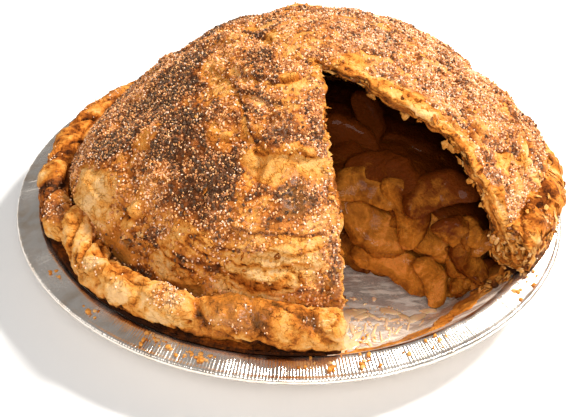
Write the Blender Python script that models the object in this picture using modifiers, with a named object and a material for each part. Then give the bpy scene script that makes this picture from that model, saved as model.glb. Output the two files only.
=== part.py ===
"""Apple pie with a high domed crust in a foil tin, one slice taken out.

Metres, +Z up. The origin is the centre of the tin's underside. The open slice faces -Y and +X.
"""
import math

import bmesh
import bpy
import numpy as np
from mathutils import Matrix

MM = 0.001

# Tin
TIN_RADIUS = 132 * MM
FLOOR_RADIUS = 92 * MM
FLANGE_INNER_RADIUS = 121 * MM
FLANGE_INNER_HEIGHT = 28.6 * MM
FLANGE_OUTER_HEIGHT = 25.0 * MM
FOIL = 0.4 * MM
BEAD_RADIUS = 1.6 * MM
TIN_STEPS = 64

# Space left between pieces that touch
GAP = 0.3 * MM

# Bottom crust
BOTTOM_THICKNESS = 3.0 * MM
BOTTOM_LIP_HEIGHT = 30.2 * MM
BOTTOM_LIP_RADIUS = 119.5 * MM
BOTTOM_LIP_WIDTH = 7.5 * MM
WALL_CLEARANCE = 0.6 * MM
WALL_TOP = 27.0 * MM
WALL_SLANT = 1.4
RESIDUE_THICKNESS = 1.3 * MM
RESIDUE_SPAN = (-74, -24)
RESIDUE_RINGS = 26
RESIDUE_LOW_LEFT = 19.5 * MM
RESIDUE_LOW_RIGHT = 8.5 * MM
RESIDUE_HIGH = 25.6 * MM
BOTTOM_STEPS = 60

# Top crust: a dome over a centre that lies a little to the right of the tin's
DOME_CENTRE = np.array([11.5 * MM, 0.0])
DOME_HEIGHT = 114 * MM
DOME_FOOT_HEIGHT = 36 * MM
DOME_WIDTH_POWER = 1.68
DOME_HEIGHT_POWER = 1.58
DOME_FOOT_LEFT = 105 * MM
DOME_FOOT_FRONT = 104 * MM
DOME_FOOT_RIGHT = 124 * MM
DOME_FOOT_BACK = 110 * MM
DOME_SKIRT = 6 * MM
TOP_THICKNESS = 5.5 * MM
FOOT_THICKNESS = 9.0 * MM
DOME_STEPS = 58
DOME_ROWS = 16

# Torn flakes of the dome: half the height of a step, and how much closer together they lie up the side
FLAKE_STEP = 0.5 * MM
FLAKE_STRETCH = np.array([1.0, 1.0, 1.9])

# Swellings of the dome over the fruit: angle in degrees, steepness, width in degrees, span, height
SWELLINGS = [
    (-160, 0.86, 16, 0.16, 5.0 * MM),
    (-141, 0.62, 15, 0.16, 2.6 * MM),
    (-118, 0.72, 13, 0.15, 3.4 * MM),
    (-96, 0.80, 12, 0.12, 3.0 * MM),
    (-168, 0.55, 16, 0.15, -2.6 * MM),
    (-130, 0.86, 10, 0.12, -2.4 * MM),
    (165, 0.70, 12, 0.14, -3.0 * MM),
    (148, 0.80, 14, 0.14, 1.0 * MM),
    (152, 0.50, 28, 0.24, -4.2 * MM),
    (110, 0.50, 22, 0.16, 1.6 * MM),
    (58, 0.60, 22, 0.20, 1.0 * MM),
    (30, 0.55, 14, 0.14, -2.0 * MM),
    (12, 0.74, 13, 0.13, 2.8 * MM),
    (-12, 0.66, 12, 0.14, 2.6 * MM),
    (95, 0.82, 15, 0.14, -2.4 * MM),
]

# Rolled edge: a rope of dough that lies flat on the bottom crust's lip
ROLL_UNDERSIDE = BOTTOM_LIP_HEIGHT + GAP
ROLL_FLATTENED = 0.93
ROLL_SIDES = 8
ROLL_LUMPS = 0.9 * MM
FRONT_ROLL_RADIUS = 113.6 * MM
FRONT_ROLL_SPAN = (-158, -58)
FRONT_ROLL_RINGS = 26
FOLD_TUCK = 8.5 * MM
FOLD_RISE = 2.0 * MM
KNOB_ANGLE = -100
KNOB_RISE = 2.4 * MM
BACK_ROLL_RADIUS = 114.6 * MM
BACK_ROLL_SPAN = (-46, 211)
BACK_ROLL_RINGS = 64
THICK_END_ANGLE = -14
NARROW_BACK_ANGLE = 150
ROLL_HALF_WIDTH = 8.2 * MM
ROLL_HALF_HEIGHT = 8.1 * MM

# Slice taken out, as corners of its two ragged sides seen from above
SLICE_TIP = (6.5 * MM, -17 * MM)
SLICE_LEFT_SIDE = [(9.5 * MM, -35 * MM), (14 * MM, -62 * MM), (18.5 * MM, -90 * MM),
                   (22 * MM, -117 * MM), (25 * MM, -145 * MM)]
SLICE_RIGHT_SIDE = [(20 * MM, -21 * MM), (36 * MM, -28 * MM), (57 * MM, -35 * MM), (70 * MM, -40 * MM),
                    (82 * MM, -50 * MM), (94 * MM, -57 * MM), (113 * MM, -66 * MM), (145 * MM, -82 * MM)]
RAGGED_STEP = 4.5 * MM
RAGGED_DEPTH = 1.1 * MM

# Filling: a heap of cooked apple wedges
HEAP_STEPS = 36
HEAP_SCRAPED = 3.5 * MM
APPLE_RADIUS = 24 * MM
APPLE_DEPTH = 21 * MM
APPLE_THICKNESS = 13 * MM
APPLE_SWEEP = 62
APPLE_RINGS = 5
# Section of a wedge as parts of its depth and thickness, round side first
APPLE_SECTION = [(0.30, 0.50), (0.50, 0.16), (0.50, -0.20), (0.28, -0.50), (-0.50, -0.10), (-0.46, 0.16)]
CAVITY_CLEARANCE = 4.0 * MM
CAVITY_REACH = 99 * MM

# Wedges that show at the open slice: place in mm, the way the cut side faces in degrees from +X,
# how far up it looks, its turn in its own plane, and its size
OPEN_SIDE_WEDGES = [
    (36, -34, 31, -95, 30, 220, 0.90),
    (32, -26, 50, -95, 62, 5, 0.84),
    (55, -38, 45, -100, 25, 62, 0.72),
    (51, -40, 17, -85, 42, 28, 0.84),
    (69, -49, 12, -60, 18, 78, 0.62),
    (77, -48, 40, -80, 24, 40, 0.52),
    (82, -50, 27, -78, 14, 250, 0.60),
    (65, -42, 30, -84, 24, 204, 0.76),
    (68, -34, 54, -90, 58, -18, 0.74),
    (46, -24, 57, -110, 68, 14, 0.78),
    (27, -24, 14, -90, 22, 30, 0.80),
    (88, -46, 14, -70, 30, -30, 0.56),
    (23, 6, 58, -92, 34, 4, 0.84),
    (38, 11, 58, -84, 12, 92, 0.70),
    (6, -34, 24, 10, 10, 24, 0.84),
    (10, -50, 42, 6, 30, -28, 0.78),
    (13, -62, 19, 8, 4, 196, 0.84),
    (15, -80, 34, 12, 16, 40, 0.72),
    (17, -85, 13, 6, 8, -14, 0.62),
    (3, -32, 50, 16, 44, 8, 0.76),
]
TOP_WEDGES = 9
TOP_WEDGE_SUNK = 5 * MM


def clear_scene():
    for existing in list(bpy.data.objects):
        bpy.data.objects.remove(existing, do_unlink=True)


def make_collection(name):
    collection = bpy.data.collections.new(name)
    bpy.context.scene.collection.children.link(collection)
    return collection


def make_material(name, colour, roughness, metallic=0.0):
    material = bpy.data.materials.new(name)
    material.use_nodes = True
    shader = material.node_tree.nodes["Principled BSDF"]
    shader.inputs["Base Color"].default_value = (*colour, 1.0)
    shader.inputs["Roughness"].default_value = roughness
    shader.inputs["Metallic"].default_value = metallic
    return material


def add_object(name, mesh, collection, material=None):
    piece = bpy.data.objects.new(name, mesh)
    collection.objects.link(piece)
    if material:
        mesh.materials.clear()
        mesh.materials.append(material)
    return piece


def hide_cutter(piece):
    piece.hide_render = True
    piece.display_type = "WIRE"


def smooth(mesh, degrees):
    mesh.shade_smooth()
    mesh.set_sharp_from_angle(angle=math.radians(degrees))


def evaluated_mesh(piece):
    bpy.context.view_layer.update()
    graph = bpy.context.evaluated_depsgraph_get()
    return bpy.data.meshes.new_from_object(piece.evaluated_get(graph))


def turned_mesh(name, profile, steps):
    """Turn a profile of (radius, height) points round +Z."""
    mesh = bpy.data.meshes.new(name)
    points = [(radius, 0.0, height) for radius, height in profile]
    mesh.from_pydata(points, [(i, i + 1) for i in range(len(points) - 1)], [])
    piece = bpy.data.objects.new(name, mesh)
    bpy.context.scene.collection.objects.link(piece)
    screw = piece.modifiers.new("turn", "SCREW")
    screw.steps = steps
    screw.render_steps = steps
    screw.use_merge_vertices = True
    screw.merge_threshold = 0.00001
    turned = evaluated_mesh(piece)
    turned.name = name
    bpy.data.objects.remove(piece, do_unlink=True)
    return turned


def arc(centre, radius, start, end, count):
    """Points on an arc of the profile plane, angles in degrees from +R towards +Z."""
    angles = np.radians(np.linspace(start, end, count))
    return [(centre[0] + radius * math.cos(a), centre[1] + radius * math.sin(a)) for a in angles]


def lattice_value(cells, seed):
    """A fixed number from -1 to 1 for each whole-number cell corner."""
    mixed = cells[..., 0] * 12.9898 + cells[..., 1] * 78.233 + cells[..., 2] * 37.719 + seed * 4.1414
    turned = np.sin(mixed) * 43758.5453
    return 2.0 * (turned - np.floor(turned)) - 1.0


def ripple(points, wavelength, seed):
    """Smooth uneven waves from -1 to 1 at points in space."""
    scaled = np.asarray(points, float) / wavelength
    corner = np.floor(scaled)
    part = scaled - corner
    part = part * part * (3.0 - 2.0 * part)
    total = np.zeros(scaled.shape[:-1])
    for offset in np.ndindex(2, 2, 2):
        offset = np.array(offset, float)
        weight = np.prod(np.where(offset > 0, part, 1.0 - part), axis=-1)
        total += weight * lattice_value(corner + offset, seed)
    return total


def bell(value, centre, width):
    return np.exp(-((value - centre) / width) ** 2)


def turn_difference(angle, centre):
    """Degrees from centre to angle, the short way round."""
    return (angle - centre + 180.0) % 360.0 - 180.0


def foot_radius(angle):
    """Distance from the dome's centre to its foot, for angles in radians."""
    across, along = np.cos(angle), np.sin(angle)
    side = np.where(across > 0, DOME_FOOT_RIGHT - DOME_CENTRE[0], DOME_FOOT_LEFT + DOME_CENTRE[0])
    depth = np.where(along > 0, DOME_FOOT_BACK, DOME_FOOT_FRONT)
    return 1.0 / np.sqrt((across / side) ** 2 + (along / depth) ** 2)


def dome_point(angle, steepness):
    """The dome's plain outer surface. Steepness runs from 0 at the top to 1 at the foot."""
    swing = np.clip(steepness, 0.0, 1.0) * math.pi / 2
    reach = foot_radius(angle) * np.sin(swing) ** (2 / DOME_WIDTH_POWER)
    rise = np.maximum(np.cos(swing), 0.0) ** (2 / DOME_HEIGHT_POWER)
    return np.stack([DOME_CENTRE[0] + reach * np.cos(angle),
                     DOME_CENTRE[1] + reach * np.sin(angle),
                     DOME_FOOT_HEIGHT + (DOME_HEIGHT - DOME_FOOT_HEIGHT) * rise], axis=-1)


def dome_relief(angle, steepness, point):
    """How far the baked crust stands out from the plain dome."""
    degrees = np.degrees(angle)
    height = 1.5 * MM * ripple(point, 34 * MM, 3) + 1.5 * MM * ripple(point, 15 * MM, 8)
    height = height + FLAKE_STEP * np.tanh(6.0 * ripple(point * FLAKE_STRETCH, 27 * MM, 31))
    for centre, level, width, span, rise in SWELLINGS:
        height = height + rise * bell(turn_difference(degrees, centre), 0.0, width) * bell(steepness, level, span)
    return height * np.clip((1.02 - steepness) * 6.0, 0.0, 1.0)


def dome_surface(angle, steepness):
    """Outer surface of the top crust with its relief."""
    plain = dome_point(angle, steepness)
    step = 0.01
    around = dome_point(angle + step, steepness) - dome_point(angle - step, steepness)
    down = dome_point(angle, steepness + step) - dome_point(angle, np.maximum(steepness - step, 0.0))
    outward = np.cross(down, around)
    length = np.linalg.norm(outward, axis=-1, keepdims=True)
    outward = np.where(length > 1e-12, outward / np.maximum(length, 1e-12), [0.0, 0.0, 1.0])
    return plain + outward * dome_relief(angle, steepness, plain)[..., None]


def crust_thickness(steepness):
    """The crust is thicker low down, above the place where it is folded into the rolled edge."""
    lower = np.clip((steepness - 0.50) / 0.34, 0.0, 1.0)
    above_fold = np.clip((1.0 - steepness) / 0.06, 0.0, 1.0)
    return TOP_THICKNESS + (FOOT_THICKNESS - TOP_THICKNESS) * lower * lower * (3.0 - 2.0 * lower) * above_fold


def make_dome(parts, baked):
    """Dome shell: a turned net whose points are moved onto the crust's surface, then thickened inwards."""
    rows = np.linspace(0.0, 1.0, DOME_ROWS)
    net = turned_mesh("dome_net", [(row, -row) for row in list(rows) + [1.0 + 1.0 / DOME_ROWS]], DOME_STEPS)
    places = np.array([vertex.co for vertex in net.vertices])
    angle = np.arctan2(places[:, 1], places[:, 0])
    steepness = -places[:, 2]
    surface = dome_surface(angle, np.minimum(steepness, 1.0))
    skirt = steepness > 1.001
    outward = np.stack([np.cos(angle), np.sin(angle), np.zeros_like(angle)], axis=-1)
    surface[skirt] += DOME_SKIRT * outward[skirt]
    net.vertices.foreach_set("co", surface.ravel())
    net.update()
    dome = add_object("top_crust", net, parts, baked)
    thickness = dome.vertex_groups.new(name="thickness")
    for index, share in enumerate(crust_thickness(steepness) / FOOT_THICKNESS):
        thickness.add([index], float(share), "REPLACE")
    shell = dome.modifiers.new("thickness", "SOLIDIFY")
    shell.thickness = FOOT_THICKNESS
    shell.vertex_group = thickness.name
    shell.offset = -1.0
    return dome


def mesh_from_rings(name, rings, tips=(None, None)):
    """Closed skin over rings of points, each end closed by a face or drawn to a tip."""
    shell = bmesh.new()
    loops = [[shell.verts.new(point) for point in ring] for ring in rings]
    sides = len(loops[0])
    for first, second in zip(loops, loops[1:]):
        for side in range(sides):
            following = (side + 1) % sides
            shell.faces.new((first[side], first[following], second[following], second[side]))
    for loop, tip in ((loops[0], tips[0]), (loops[-1], tips[1])):
        if tip is None:
            shell.faces.new(loop)
            continue
        point = shell.verts.new(tip)
        for side in range(sides):
            shell.faces.new((loop[side], loop[(side + 1) % sides], point))
    bmesh.ops.recalc_face_normals(shell, faces=shell.faces)
    mesh = bpy.data.meshes.new(name)
    shell.to_mesh(mesh)
    shell.free()
    return mesh


def rope_mesh(name, angles, radius, half_width, half_height):
    """A roll of dough along a level curve, flat underneath and with rounded ends."""
    rings = []
    last = len(angles) - 1
    for index, degrees in enumerate(angles):
        fullness = math.sin(math.pi / 2 * min(1.0, (min(index, last - index) + 0.6) / 3))
        turn = math.radians(degrees)
        middle = ROLL_UNDERSIDE + ROLL_FLATTENED * half_height(degrees)
        ring = []
        for phase in np.radians(np.linspace(0, 360, ROLL_SIDES, endpoint=False)):
            reach = radius(degrees) + math.cos(phase) * half_width(degrees) * fullness
            rise = middle + math.sin(phase) * half_height(degrees) * fullness
            place = np.array([reach * math.cos(turn), reach * math.sin(turn), rise])
            lump = ROLL_LUMPS * float(ripple(place, 12 * MM, 21)) * fullness
            reach += lump * math.cos(phase)
            rise = max(rise + lump * math.sin(phase), ROLL_UNDERSIDE)
            ring.append((reach * math.cos(turn), reach * math.sin(turn), rise))
        rings.append(ring)
    return mesh_from_rings(name, rings)


def roll_wave(degrees):
    """Slow in-and-out wave of the rolled edge."""
    turn = math.radians(degrees)
    return 1.2 * MM * (math.sin(turn * 5 + 0.6) + 0.6 * math.sin(turn * 9 + 2.1))


def near(degrees, centre, width):
    """1 at the centre angle, falling smoothly to 0 away from it."""
    return float(bell(turn_difference(degrees, centre), 0.0, width))


def front_roll():
    """Rolled edge from the fold at the left round the front to the open slice."""
    def radius(degrees):
        tucked = max(0.0, 1.0 - (degrees - FRONT_ROLL_SPAN[0]) / 22)
        return FRONT_ROLL_RADIUS - FOLD_TUCK * tucked ** 1.5 + roll_wave(degrees)

    def half_width(degrees):
        return ROLL_HALF_WIDTH + 0.8 * MM * math.sin(math.radians(degrees) * 7)

    def half_height(degrees):
        knob = KNOB_RISE * near(degrees, KNOB_ANGLE, 6) + FOLD_RISE * near(degrees, FRONT_ROLL_SPAN[0], 10)
        return ROLL_HALF_HEIGHT + knob + 0.6 * MM * math.sin(math.radians(degrees) * 11)

    return rope_mesh("front_roll", np.linspace(*FRONT_ROLL_SPAN, FRONT_ROLL_RINGS),
                     radius, half_width, half_height)


def back_roll():
    """Rolled edge from the open slice round the right and the back to the fold."""
    def radius(degrees):
        thick = 3.4 * MM * near(degrees, THICK_END_ANGLE, 34)
        narrow = 4.2 * MM * near(degrees, NARROW_BACK_ANGLE, 36)
        return BACK_ROLL_RADIUS + thick - narrow + roll_wave(degrees)

    def half_width(degrees):
        return ROLL_HALF_WIDTH - 0.4 * MM + 3.6 * MM * near(degrees, THICK_END_ANGLE, 34)

    def half_height(degrees):
        thick = 3.6 * MM * near(degrees, THICK_END_ANGLE, 34)
        narrow = 2.2 * MM * near(degrees, NARROW_BACK_ANGLE, 36)
        return ROLL_HALF_HEIGHT + thick - narrow + 0.6 * MM * math.sin(math.radians(degrees) * 8)

    return rope_mesh("back_roll", np.linspace(*BACK_ROLL_SPAN, BACK_ROLL_RINGS),
                     radius, half_width, half_height)


def ragged_side(corners, seed):
    """Points along a torn side: the corners' line, broken by small uneven teeth."""
    line = []
    for start, end in zip(corners, corners[1:]):
        start, end = np.array(start), np.array(end)
        length = np.linalg.norm(end - start)
        aside = np.array([-(end - start)[1], (end - start)[0]]) / length
        count = max(1, int(round(length / RAGGED_STEP)))
        for index in range(count):
            place = start + (end - start) * index / count
            tooth = float(lattice_value(np.array([len(line), seed, 0.0]), seed))
            depth = RAGGED_DEPTH * tooth if line else 0.0
            line.append(place + aside * depth)
    line.append(np.array(corners[-1]))
    return line


def slice_outline():
    left = ragged_side([SLICE_TIP] + SLICE_LEFT_SIDE, 5)
    right = ragged_side([SLICE_TIP] + SLICE_RIGHT_SIDE, 9)
    beyond = [np.array([110 * MM, -170 * MM])]
    return left + beyond + right[:0:-1]


def prism_mesh(name, outline, low, high):
    """A flat outline raised from one height to another."""
    shell = bmesh.new()
    base = [shell.verts.new((x, y, low)) for x, y in outline]
    face = shell.faces.new(base)
    raised = bmesh.ops.extrude_face_region(shell, geom=[face])
    moved = [item for item in raised["geom"] if isinstance(item, bmesh.types.BMVert)]
    bmesh.ops.translate(shell, verts=moved, vec=(0, 0, high - low))
    bmesh.ops.recalc_face_normals(shell, faces=shell.faces)
    mesh = bpy.data.meshes.new(name)
    shell.to_mesh(mesh)
    shell.free()
    return mesh


def add_boolean(piece, name, operation, operand, solver="EXACT"):
    boolean = piece.modifiers.new(name, "BOOLEAN")
    boolean.operation = operation
    boolean.solver = solver
    if isinstance(operand, bpy.types.Collection):
        boolean.operand_type = "COLLECTION"
        boolean.collection = operand
    else:
        boolean.object = operand
    return boolean


def apply_modifiers(piece):
    mesh = evaluated_mesh(piece)
    piece.modifiers.clear()
    piece.data = mesh
    return mesh


def finish_solid(piece, material, degrees):
    """Apply the modifiers and leave one material and smooth shading."""
    mesh = apply_modifiers(piece)
    mesh.materials.clear()
    mesh.materials.append(material)
    smooth(mesh, degrees)


def apple_wedge(size):
    """One cooked apple wedge: a crescent with its round side towards +Z."""
    sweeps = np.radians(np.linspace(-APPLE_SWEEP, APPLE_SWEEP, APPLE_RINGS + 2))
    rings = []
    for sweep in sweeps[1:-1]:
        fullness = math.sqrt(1.0 - (sweep / sweeps[-1]) ** 2 * 0.97)
        ring = []
        for deep, wide in APPLE_SECTION:
            reach = (APPLE_RADIUS + deep * APPLE_DEPTH * fullness) * size
            ring.append((reach * math.sin(sweep), wide * APPLE_THICKNESS * size * fullness,
                         reach * math.cos(sweep) - APPLE_RADIUS * size))
        rings.append(ring)
    tips = [(APPLE_RADIUS * size * math.sin(sweep), 0.0, APPLE_RADIUS * size * (math.cos(sweep) - 1.0))
            for sweep in (sweeps[0], sweeps[-1])]
    return mesh_from_rings("apple_wedge", rings, tips)


def top_wedges():
    """Wedges lying on the heap, on a spiral that leaves the open slice clear."""
    placed = []
    for index in range(1, TOP_WEDGES * 2):
        turn = index * 137.5
        reach = 19 * MM * math.sqrt(index)
        clear = abs(turn_difference(turn, -54)) > 48
        if clear and reach < 78 * MM and len(placed) < TOP_WEDGES:
            lean = float(lattice_value(np.array([index, 7.0, 0.0]), 6))
            placed.append((reach * math.cos(math.radians(turn)) / MM, reach * math.sin(math.radians(turn)) / MM,
                           (heap_top(reach) - TOP_WEDGE_SUNK) / MM, turn * 1.7, 62 + 16 * lean, turn * 2.3, 0.84 + 0.08 * lean))
    return placed


def heap_top(reach):
    """Height of the heap's core at a distance from the middle."""
    return 56 * MM - 20 * MM * (reach / (95 * MM)) ** 2


def place_wedge(mesh, x, y, z, facing, tilt, spin):
    turn = Matrix.Rotation(math.radians(facing + 90), 4, "Z")
    turn = turn @ Matrix.Rotation(math.radians(-tilt), 4, "X") @ Matrix.Rotation(math.radians(spin), 4, "Y")
    mesh.transform(Matrix.Translation((x * MM, y * MM, z * MM)) @ turn)


def heap_mesh():
    """Plain core of the filling, narrower where the dome is narrow."""
    rows = [0.0, 26 * MM, 52 * MM, 74 * MM, 90 * MM]
    profile = [(row, heap_top(row)) for row in rows]
    profile += [(96 * MM, 30 * MM), (98 * MM, 20 * MM), (92 * MM, 8 * MM), (84 * MM, 4.4 * MM), (0.0, 4.4 * MM)]
    mesh = turned_mesh("heap", profile, HEAP_STEPS)
    for vertex in mesh.vertices:
        vertex.co.z += 1.4 * MM * float(ripple(vertex.co, 16 * MM, 12)) if vertex.co.z > 12 * MM else 0.0
    return mesh


def cavity_ring(height):
    """Level outline of the room inside the crusts at a height."""
    ring = []
    for angle in np.linspace(0, 2 * math.pi, HEAP_STEPS, endpoint=False):
        centre = np.zeros(2)
        reach = wall_radius(height) - WALL_CLEARANCE - BOTTOM_THICKNESS * WALL_SLANT - 0.5 * MM
        if height < 5 * MM:
            reach = FLOOR_RADIUS - 9 * MM
        elif height > 30 * MM:
            rise = max(0.0, (height - DOME_FOOT_HEIGHT) / (DOME_HEIGHT - DOME_FOOT_HEIGHT))
            swing = math.acos(rise ** (DOME_HEIGHT_POWER / 2))
            reach = float(foot_radius(angle)) * math.sin(swing) ** (2 / DOME_WIDTH_POWER)
            reach -= float(crust_thickness(swing / (math.pi / 2))) + CAVITY_CLEARANCE
            centre = DOME_CENTRE
        place = centre + reach * np.array([math.cos(angle), math.sin(angle)])
        if 20 * MM < height < 50 * MM:
            place *= min(1.0, CAVITY_REACH / np.linalg.norm(place))
        ring.append((place[0], place[1], height))
    return ring


def cavity_mesh():
    """Room inside the crusts, a little clear of them, that the filling stays in."""
    levels = (4.3, 8, 18, 27, 35, 45, 56, 67, 77)
    return mesh_from_rings("cavity", [cavity_ring(level * MM) for level in levels])


def shifted_outline(left_in, right_in):
    """The open slice's plain outline with its sides moved inwards; a negative value moves them outwards."""
    tip = np.array(SLICE_TIP)
    left_end, right_end = np.array(SLICE_LEFT_SIDE[-1]), np.array(SLICE_RIGHT_SIDE[-1])
    left_way = (left_end - tip) / np.linalg.norm(left_end - tip)
    right_way = (right_end - tip) / np.linalg.norm(right_end - tip)
    left_normal = np.array([-left_way[1], left_way[0]])
    right_normal = np.array([right_way[1], -right_way[0]])
    left_foot = tip + left_normal * left_in
    right_foot = tip + right_normal * right_in
    across = np.linalg.solve(np.array([left_way, -right_way]).T, right_foot - left_foot)
    corner = left_foot + left_way * across[0]
    return [corner, left_end + left_normal * left_in, np.array([110 * MM, -170 * MM]),
            right_end + right_normal * right_in]


def keep_largest_body(mesh):
    """Drop loose scraps, and the inner skins of hollows that the joined wedges have closed."""
    shell = bmesh.new()
    shell.from_mesh(mesh)
    bmesh.ops.remove_doubles(shell, verts=shell.verts, dist=0.00002)
    bmesh.ops.dissolve_degenerate(shell, edges=shell.edges, dist=0.00002)
    left = set(shell.verts)
    bodies = []
    while left:
        body = {left.pop()}
        edge_of_body = list(body)
        while edge_of_body:
            vertex = edge_of_body.pop()
            for edge in vertex.link_edges:
                other = edge.other_vert(vertex)
                if other in left:
                    left.remove(other)
                    body.add(other)
                    edge_of_body.append(other)
        bodies.append(body)
    bodies.sort(key=len)
    scraps = [vertex for body in bodies[:-1] for vertex in body]
    bmesh.ops.delete(shell, geom=scraps, context="VERTS")
    bmesh.ops.triangulate(shell, faces=shell.faces)
    shell.to_mesh(mesh)
    shell.free()


def make_filling(parts, cutters):
    fruit = make_material("cooked_apple", (0.50, 0.25, 0.08), 0.35)
    filling = add_object("apple_filling", heap_mesh(), parts, fruit)
    scraped = add_object("filling_cutter", prism_mesh("filling_cutter", shifted_outline(-HEAP_SCRAPED, -HEAP_SCRAPED),
                                                      -10 * MM, 150 * MM), cutters)
    wedges = bpy.data.collections.new("apple_wedges")
    cutters.children.link(wedges)
    for *place, size in OPEN_SIDE_WEDGES + top_wedges():
        mesh = apple_wedge(size)
        place_wedge(mesh, *place)
        hide_cutter(add_object("apple_wedge", mesh, wedges))
    cavity = add_object("cavity", cavity_mesh(), cutters)
    tin_room = turned_mesh("tin_room", [(0.0, 26 * MM), (wall_radius(26 * MM) - 1.5 * MM, 26 * MM),
                                        (wall_radius(4 * MM) - 1.5 * MM, 4 * MM),
                                        (FLOOR_RADIUS - 5 * MM, 1.0 * MM), (0.0, 1.0 * MM)], HEAP_STEPS)
    slumped = add_object("slumped_room", tin_room, cutters)
    gap = add_object("gap", prism_mesh("gap", shifted_outline(3 * MM, 3 * MM), -10 * MM, 60 * MM), cutters)
    add_boolean(slumped, "within the gap", "INTERSECT", gap)
    apply_modifiers(slumped)
    add_boolean(cavity, "slice floor", "UNION", slumped)
    apply_modifiers(cavity)
    add_boolean(filling, "slice taken out", "DIFFERENCE", scraped)
    add_boolean(filling, "wedges", "UNION", wedges)
    add_boolean(filling, "room", "INTERSECT", cavity, "MANIFOLD")
    keep_largest_body(apply_modifiers(filling))
    finish_solid(filling, fruit, 40)
    for piece in list(wedges.objects) + [cavity, slumped, gap, scraped]:
        bpy.data.objects.remove(piece, do_unlink=True)
    return filling


def make_tin(parts):
    foil = make_material("foil", (0.72, 0.71, 0.70), 0.28, 1.0)
    bead_centre = (TIN_RADIUS - BEAD_RADIUS, FLANGE_OUTER_HEIGHT - FOIL)
    inside = [(0.0, FOIL), (FLOOR_RADIUS - 2.2 * MM, FOIL), (FLOOR_RADIUS + 0.4 * MM, 1.4 * MM),
              (FLANGE_INNER_RADIUS - 1.6 * MM, FLANGE_INNER_HEIGHT - 1.3 * MM),
              (FLANGE_INNER_RADIUS - 0.4 * MM, FLANGE_INNER_HEIGHT - 0.2 * MM),
              (FLANGE_INNER_RADIUS + 0.8 * MM, FLANGE_INNER_HEIGHT)]
    bead = arc(bead_centre, BEAD_RADIUS, 110, -170, 9)
    outside = [(FLANGE_INNER_RADIUS + 0.9 * MM, FLANGE_INNER_HEIGHT - 0.45 * MM),
               (FLANGE_INNER_RADIUS - 0.2 * MM, FLANGE_INNER_HEIGHT - 0.65 * MM),
               (FLANGE_INNER_RADIUS - 1.3 * MM, FLANGE_INNER_HEIGHT - 1.7 * MM),
               (FLOOR_RADIUS + 0.8 * MM, 0.3 * MM), (FLOOR_RADIUS - 1.8 * MM, 0.0)]
    profile = inside + bead + outside + [(0.0, 0.0)]
    mesh = turned_mesh("pie_tin", profile, TIN_STEPS)
    smooth(mesh, 40)
    return add_object("pie_tin", mesh, parts, foil)


def wall_radius(height):
    """Radius of the tin's inner wall at a height."""
    slope = (FLANGE_INNER_RADIUS - FLOOR_RADIUS - 2.0 * MM) / (FLANGE_INNER_HEIGHT - 2.7 * MM)
    return FLOOR_RADIUS + 0.4 * MM + (height - 1.4 * MM) * slope


def wall_residue():
    """Thin crust left stuck to the tin's wall in the open slice, with a torn lower edge."""
    rings = []
    for index, angle in enumerate(np.radians(np.linspace(*RESIDUE_SPAN, RESIDUE_RINGS))):
        grown = index / (RESIDUE_RINGS - 1)
        tooth = float(lattice_value(np.array([index, 3.0, 0.0]), 2))
        low = (1.0 - grown) * RESIDUE_LOW_LEFT + grown * RESIDUE_LOW_RIGHT + 2.0 * MM * tooth
        high = RESIDUE_HIGH + 0.6 * MM * tooth
        outer = WALL_CLEARANCE
        inner = WALL_CLEARANCE + RESIDUE_THICKNESS
        ring = []
        for height, inward in ((low, outer), (high, outer), (high, inner), (low, inner)):
            reach = wall_radius(height) - inward
            ring.append((reach * math.cos(angle), reach * math.sin(angle), height))
        rings.append(ring)
    return mesh_from_rings("wall_residue", rings)


def bottom_profile():
    """Section of the bottom crust: floor, sloping wall and a lip that lies over the tin's flange."""
    under = FOIL + GAP
    thick = BOTTOM_THICKNESS * WALL_SLANT
    inner = [(wall_radius(height) - WALL_CLEARANCE - thick, height) for height in (8 * MM, 18 * MM, WALL_TOP)]
    lip = [(BOTTOM_LIP_RADIUS - BOTTOM_LIP_WIDTH, BOTTOM_LIP_HEIGHT), (BOTTOM_LIP_RADIUS, BOTTOM_LIP_HEIGHT),
           (BOTTOM_LIP_RADIUS, FLANGE_INNER_HEIGHT)]
    outer = [(wall_radius(height) - WALL_CLEARANCE, height) for height in (WALL_TOP, 2.6 * MM)]
    return ([(0.0, under + BOTTOM_THICKNESS), (FLOOR_RADIUS - 6 * MM, under + BOTTOM_THICKNESS)]
            + inner + lip + outer + [(FLOOR_RADIUS - 3 * MM, under), (0.0, under)])


def make_bottom_crust(parts, slice_cutter):
    dough = make_material("bottom_dough", (0.56, 0.30, 0.11), 0.7)
    crust = add_object("bottom_crust", turned_mesh("bottom_crust", bottom_profile(), BOTTOM_STEPS), parts, dough)
    residue = add_object("wall_residue", wall_residue(), parts)
    add_boolean(crust, "slice taken out", "DIFFERENCE", slice_cutter)
    add_boolean(crust, "left on the wall", "UNION", residue)
    finish_solid(crust, dough, 40)
    bpy.data.objects.remove(residue, do_unlink=True)
    return crust


def make_top_crust(parts, cutters, slice_cutter):
    baked = make_material("baked_crust", (0.62, 0.32, 0.12), 0.62)
    crust = make_dome(parts, baked)
    rolls = bpy.data.collections.new("rolled_edge")
    cutters.children.link(rolls)
    for mesh in (front_roll(), back_roll()):
        hide_cutter(add_object(mesh.name, mesh, rolls))
    add_boolean(crust, "rolled edge", "UNION", rolls, "MANIFOLD")
    add_boolean(crust, "slice taken out", "DIFFERENCE", slice_cutter, "MANIFOLD")
    finish_solid(crust, baked, 35)
    for roll in list(rolls.objects):
        bpy.data.objects.remove(roll, do_unlink=True)
    return crust


def main():
    clear_scene()
    parts = make_collection("apple_pie")
    cutters = make_collection("cutters")
    slice_cutter = add_object("slice_cutter", prism_mesh("slice_cutter", slice_outline(), -10 * MM, 150 * MM), cutters)
    hide_cutter(slice_cutter)
    make_tin(parts)
    make_bottom_crust(parts, slice_cutter)
    make_top_crust(parts, cutters, slice_cutter)
    make_filling(parts, cutters)


main()
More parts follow.
